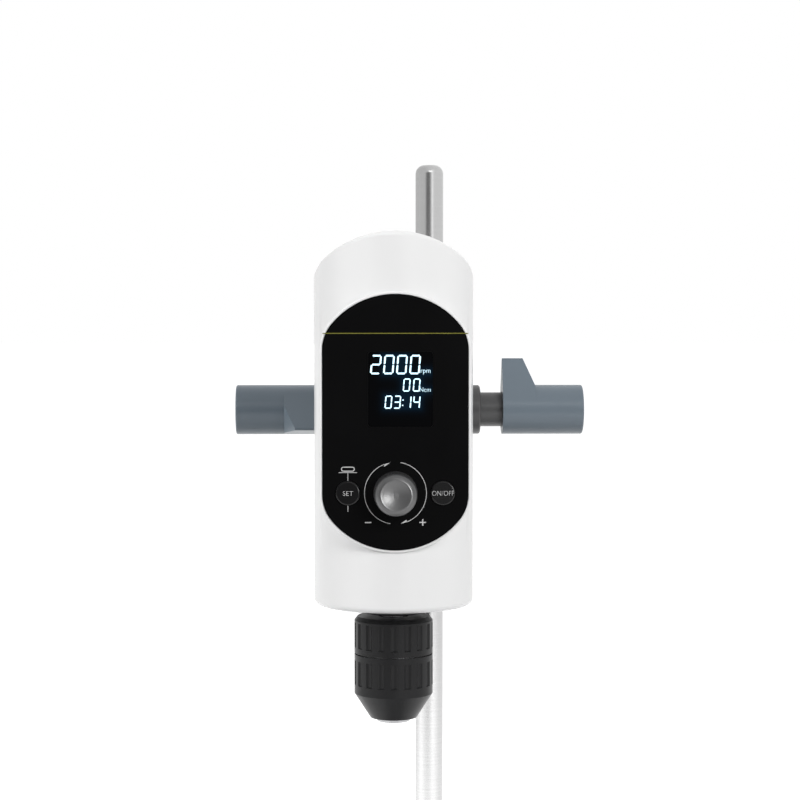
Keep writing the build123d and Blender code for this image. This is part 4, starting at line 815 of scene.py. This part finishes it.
# Name, digits, left edge of each digit, lower edge, width, height, stroke and dots.
DIGIT_ROWS = (
    ("speed_digits", "2000", (-12.96, -6.36, 0.25, 6.95), 123.0, 5.3, 9.9, 0.86, ()),
    ("torque_digits", "00", (3.65, 8.72), 114.2, 3.6, 6.7, 0.62, ()),
    ("time_digits", "0314", (-5.62, -1.15, 4.2, 8.72), 105.5, 3.6, 6.7, 0.62,
     ((3.5, 107.2), (3.5, 109.9))),
)
for row in DIGIT_ROWS:
    lit_row(*row)
bpy.data.objects.remove(BAR_OBJECT)
# Name, letters, centre, height and width.
UNITS = (("speed_unit", "rpm", (15.3, 124.1), 2.4, 4.9),
         ("torque_unit", "Ncm", (15.1, 115.2), 2.2, 5.6))
for name, text, centre, tall, wide in UNITS:
    unit = lettering(name, text, panel_point(*centre), tall * MM, wide * MM, LENS_FACE)
    printed(unit, DIGIT_LIGHT)


# ---- stage -------------------------------------------------------------------------------------

# Light of the world on plain surfaces, from the front, the sides and above.
WORLD_FRONT, WORLD_SIDE, WORLD_TOP = 0.05, 0.2, 0.36
# The world in mirrors: white, less so on the left, with a dark cone in front of the object (its
# direction and its angles) and a bright strip to the right of it.
MIRROR_LEFT = 0.78
DARK_TOWARDS = (-0.19, -0.98, -0.06)
DARK_CORE, DARK_EDGE, DARK_LEVEL = 13.5, 26.0, 0.24
STRIP_LEFT, STRIP_RIGHT, STRIP_LEVEL = (0.29, 0.35), (0.53, 0.46), 0.5
# The floor: how far it reaches, its light to the eye, and its strength to other rays.
FLOOR_HALF, FLOOR_FRONT = 30.0, 1.9
FLOOR_WHITE, FLOOR_GLOW, FLOOR_BOUNCE, FLOOR_MIRROR = 0.9, 0.75, 0.38, 0.9
CAMERA_LENS, CAMERA_SENSOR = 94.5, 36.0
CAMERA_PLACE = (-0.047198, -1.097751, 0.517145)
CAMERA_YAW, CAMERA_DOWN = 1.425, 2.48
HEAD_MIDDLE = (0.0, 0.0, 0.42)
# Places and sizes in metres, power in watts.
LAMPS = {
    "key_right": {"place_at": (0.95, -1.4, 1.1), "aim": HEAD_MIDDLE, "size": 0.9, "power": 25.5},
    "fill_left": {"place_at": (-1.5, -0.3, 0.8), "aim": HEAD_MIDDLE, "size": 1.0, "power": 17.0},
    "over_back": {"place_at": (0.1, 0.9, 1.3), "aim": HEAD_MIDDLE, "size": 0.8, "power": 6.0},
    "glint_front": {"place_at": (0.15, -1.15, 1.2), "aim": (0.05, 0.1, 0.42), "size": 0.6,
                    "power": 0.9, "tall": 0.12, "mirrored": True},
    "glint_right": {"place_at": (0.37, -1.4, 0.46), "aim": (0.0, -0.1, 0.36), "size": 0.22,
                    "power": 6.0, "mirrored": True,
                    "only": ("control_knob_finished", "set_button_finished",
                             "on_off_button_finished")},
}


def make_world():
    """Studio: white to the eye, as set above in mirrors, and a soft light on plain surfaces."""
    world = bpy.data.worlds.new("studio")
    bpy.context.scene.world = world
    world.use_nodes = True
    world.node_tree.nodes.clear()
    helper = Tree(world.node_tree)
    direction = helper.add("ShaderNodeTexCoord").outputs["Generated"]
    split = helper.add("ShaderNodeSeparateXYZ")
    helper.link(direction, split.inputs["Vector"])
    behind = helper.ramp(split.outputs["Y"], -0.85, -0.2, WORLD_FRONT, WORLD_SIDE)
    above = helper.ramp(split.outputs["Z"], 0.15, 0.9, 0.0, WORLD_TOP)
    towards = helper.add("ShaderNodeVectorMath", operation="DOT_PRODUCT")
    helper.link(direction, towards.inputs[0])
    helper.link(DARK_TOWARDS, towards.inputs[1])
    sides = helper.ramp(split.outputs["X"], -0.5, 0.3, MIRROR_LEFT, 1.0)
    open_front = helper.ramp(towards.outputs["Value"], cos(radians(DARK_EDGE)),
                             cos(radians(DARK_CORE)), 1.0, DARK_LEVEL)
    strip = helper.math("MULTIPLY", helper.ramp(split.outputs["X"], *STRIP_LEFT),
                        helper.ramp(split.outputs["X"], *STRIP_RIGHT))
    strip = helper.math("MULTIPLY", strip,
                        helper.ramp(split.outputs["Y"], -0.5, -0.7, 0.0, STRIP_LEVEL))
    mirrored = helper.math("ADD", helper.math("MULTIPLY", sides, open_front), strip)
    path = helper.add("ShaderNodeLightPath")
    seen = helper.math("MAXIMUM", path.outputs["Is Camera Ray"],
                       path.outputs["Is Transmission Ray"])
    light = helper.math("ADD", behind, above)
    for ray, level in ((path.outputs["Is Glossy Ray"], mirrored), (seen, 1.0)):
        choice = helper.add("ShaderNodeMix", data_type="FLOAT")
        helper.link(ray, choice.inputs["Factor"])
        helper.link(light, choice.inputs["A"])
        helper.link(level, choice.inputs["B"])
        light = choice.outputs["Result"]
    background = helper.add("ShaderNodeBackground")
    background.inputs["Color"].default_value = (1.0, 1.0, 1.0, 1.0)
    helper.link(light, background.inputs["Strength"])
    out = helper.add("ShaderNodeOutputWorld")
    helper.link(background.outputs["Background"], out.inputs["Surface"])


def make_floor():
    """Pale floor that takes soft shadows and runs into the white behind; it ends in front."""
    work = bmesh.new()
    corners = ((-FLOOR_HALF, -FLOOR_FRONT), (FLOOR_HALF, -FLOOR_FRONT), (FLOOR_HALF, FLOOR_HALF),
               (-FLOOR_HALF, FLOOR_HALF))
    work.faces.new([work.verts.new((x, y, 0.0)) for x, y in corners])
    mesh = bpy.data.meshes.new("floor")
    work.to_mesh(mesh)
    work.free()
    floor = show(mesh, "floor")
    white = (FLOOR_WHITE, FLOOR_WHITE, FLOOR_WHITE)
    material, helper, shader = blank_material("floor_white", white, 0.9, 0.0, 0.0)
    glow = helper.add("ShaderNodeEmission")
    glow.inputs["Strength"].default_value = FLOOR_GLOW
    both = helper.add("ShaderNodeAddShader")
    helper.link(shader.outputs["BSDF"], both.inputs[0])
    helper.link(glow.outputs["Emission"], both.inputs[1])
    path = helper.add("ShaderNodeLightPath")
    seen = helper.math("MAXIMUM", path.outputs["Is Camera Ray"],
                       helper.math("MULTIPLY", path.outputs["Is Glossy Ray"], FLOOR_MIRROR))
    mix = helper.add("ShaderNodeMixShader")
    helper.link(seen, mix.inputs["Fac"])
    helper.link(shader.outputs["BSDF"], mix.inputs[1])
    helper.link(both.outputs["Shader"], mix.inputs[2])
    helper.link(helper.ramp(seen, 0.0, 1.0, FLOOR_BOUNCE, FLOOR_WHITE), shader.inputs["Base Color"])
    output = material.node_tree.nodes["Material Output"]
    helper.link(mix.outputs["Shader"], output.inputs["Surface"])
    mesh.materials.append(material)


def add_light(name, place_at, aim, size, power, tall=None, mirrored=False, only=()):
    """Soft area light that faces a point; it shows in mirrors or lights some pieces only if set."""
    data = bpy.data.lights.new(name, "AREA")
    data.shape = "RECTANGLE"
    data.size = size
    data.size_y = tall or size
    data.energy = power
    lamp = bpy.data.objects.new(name, data)
    lamp.location = place_at
    lamp.rotation_euler = (Vector(aim) - Vector(place_at)).to_track_quat("-Z", "Y").to_euler()
    lamp.visible_glossy = mirrored
    bpy.context.scene.collection.objects.link(lamp)
    if only:
        group = bpy.data.collections.new(name + "_lit")
        for piece in only:
            group.objects.link(bpy.data.objects[piece])
        lamp.light_linking.receiver_collection = group


def make_camera():
    """The view: a long lens in front, a little to the left and above."""
    data = bpy.data.cameras.new("camera")
    data.lens, data.sensor_width, data.sensor_fit = CAMERA_LENS, CAMERA_SENSOR, "HORIZONTAL"
    camera = bpy.data.objects.new("camera", data)
    camera.location = CAMERA_PLACE
    camera.rotation_euler = Euler((pi / 2 - radians(CAMERA_DOWN), 0.0, -radians(CAMERA_YAW)))
    bpy.context.scene.collection.objects.link(camera)
    bpy.context.scene.camera = camera


make_world()
make_floor()
for name, settings in LAMPS.items():
    add_light(name, **settings)
make_camera()

bpy.context.scene.view_settings.view_transform = "Standard"
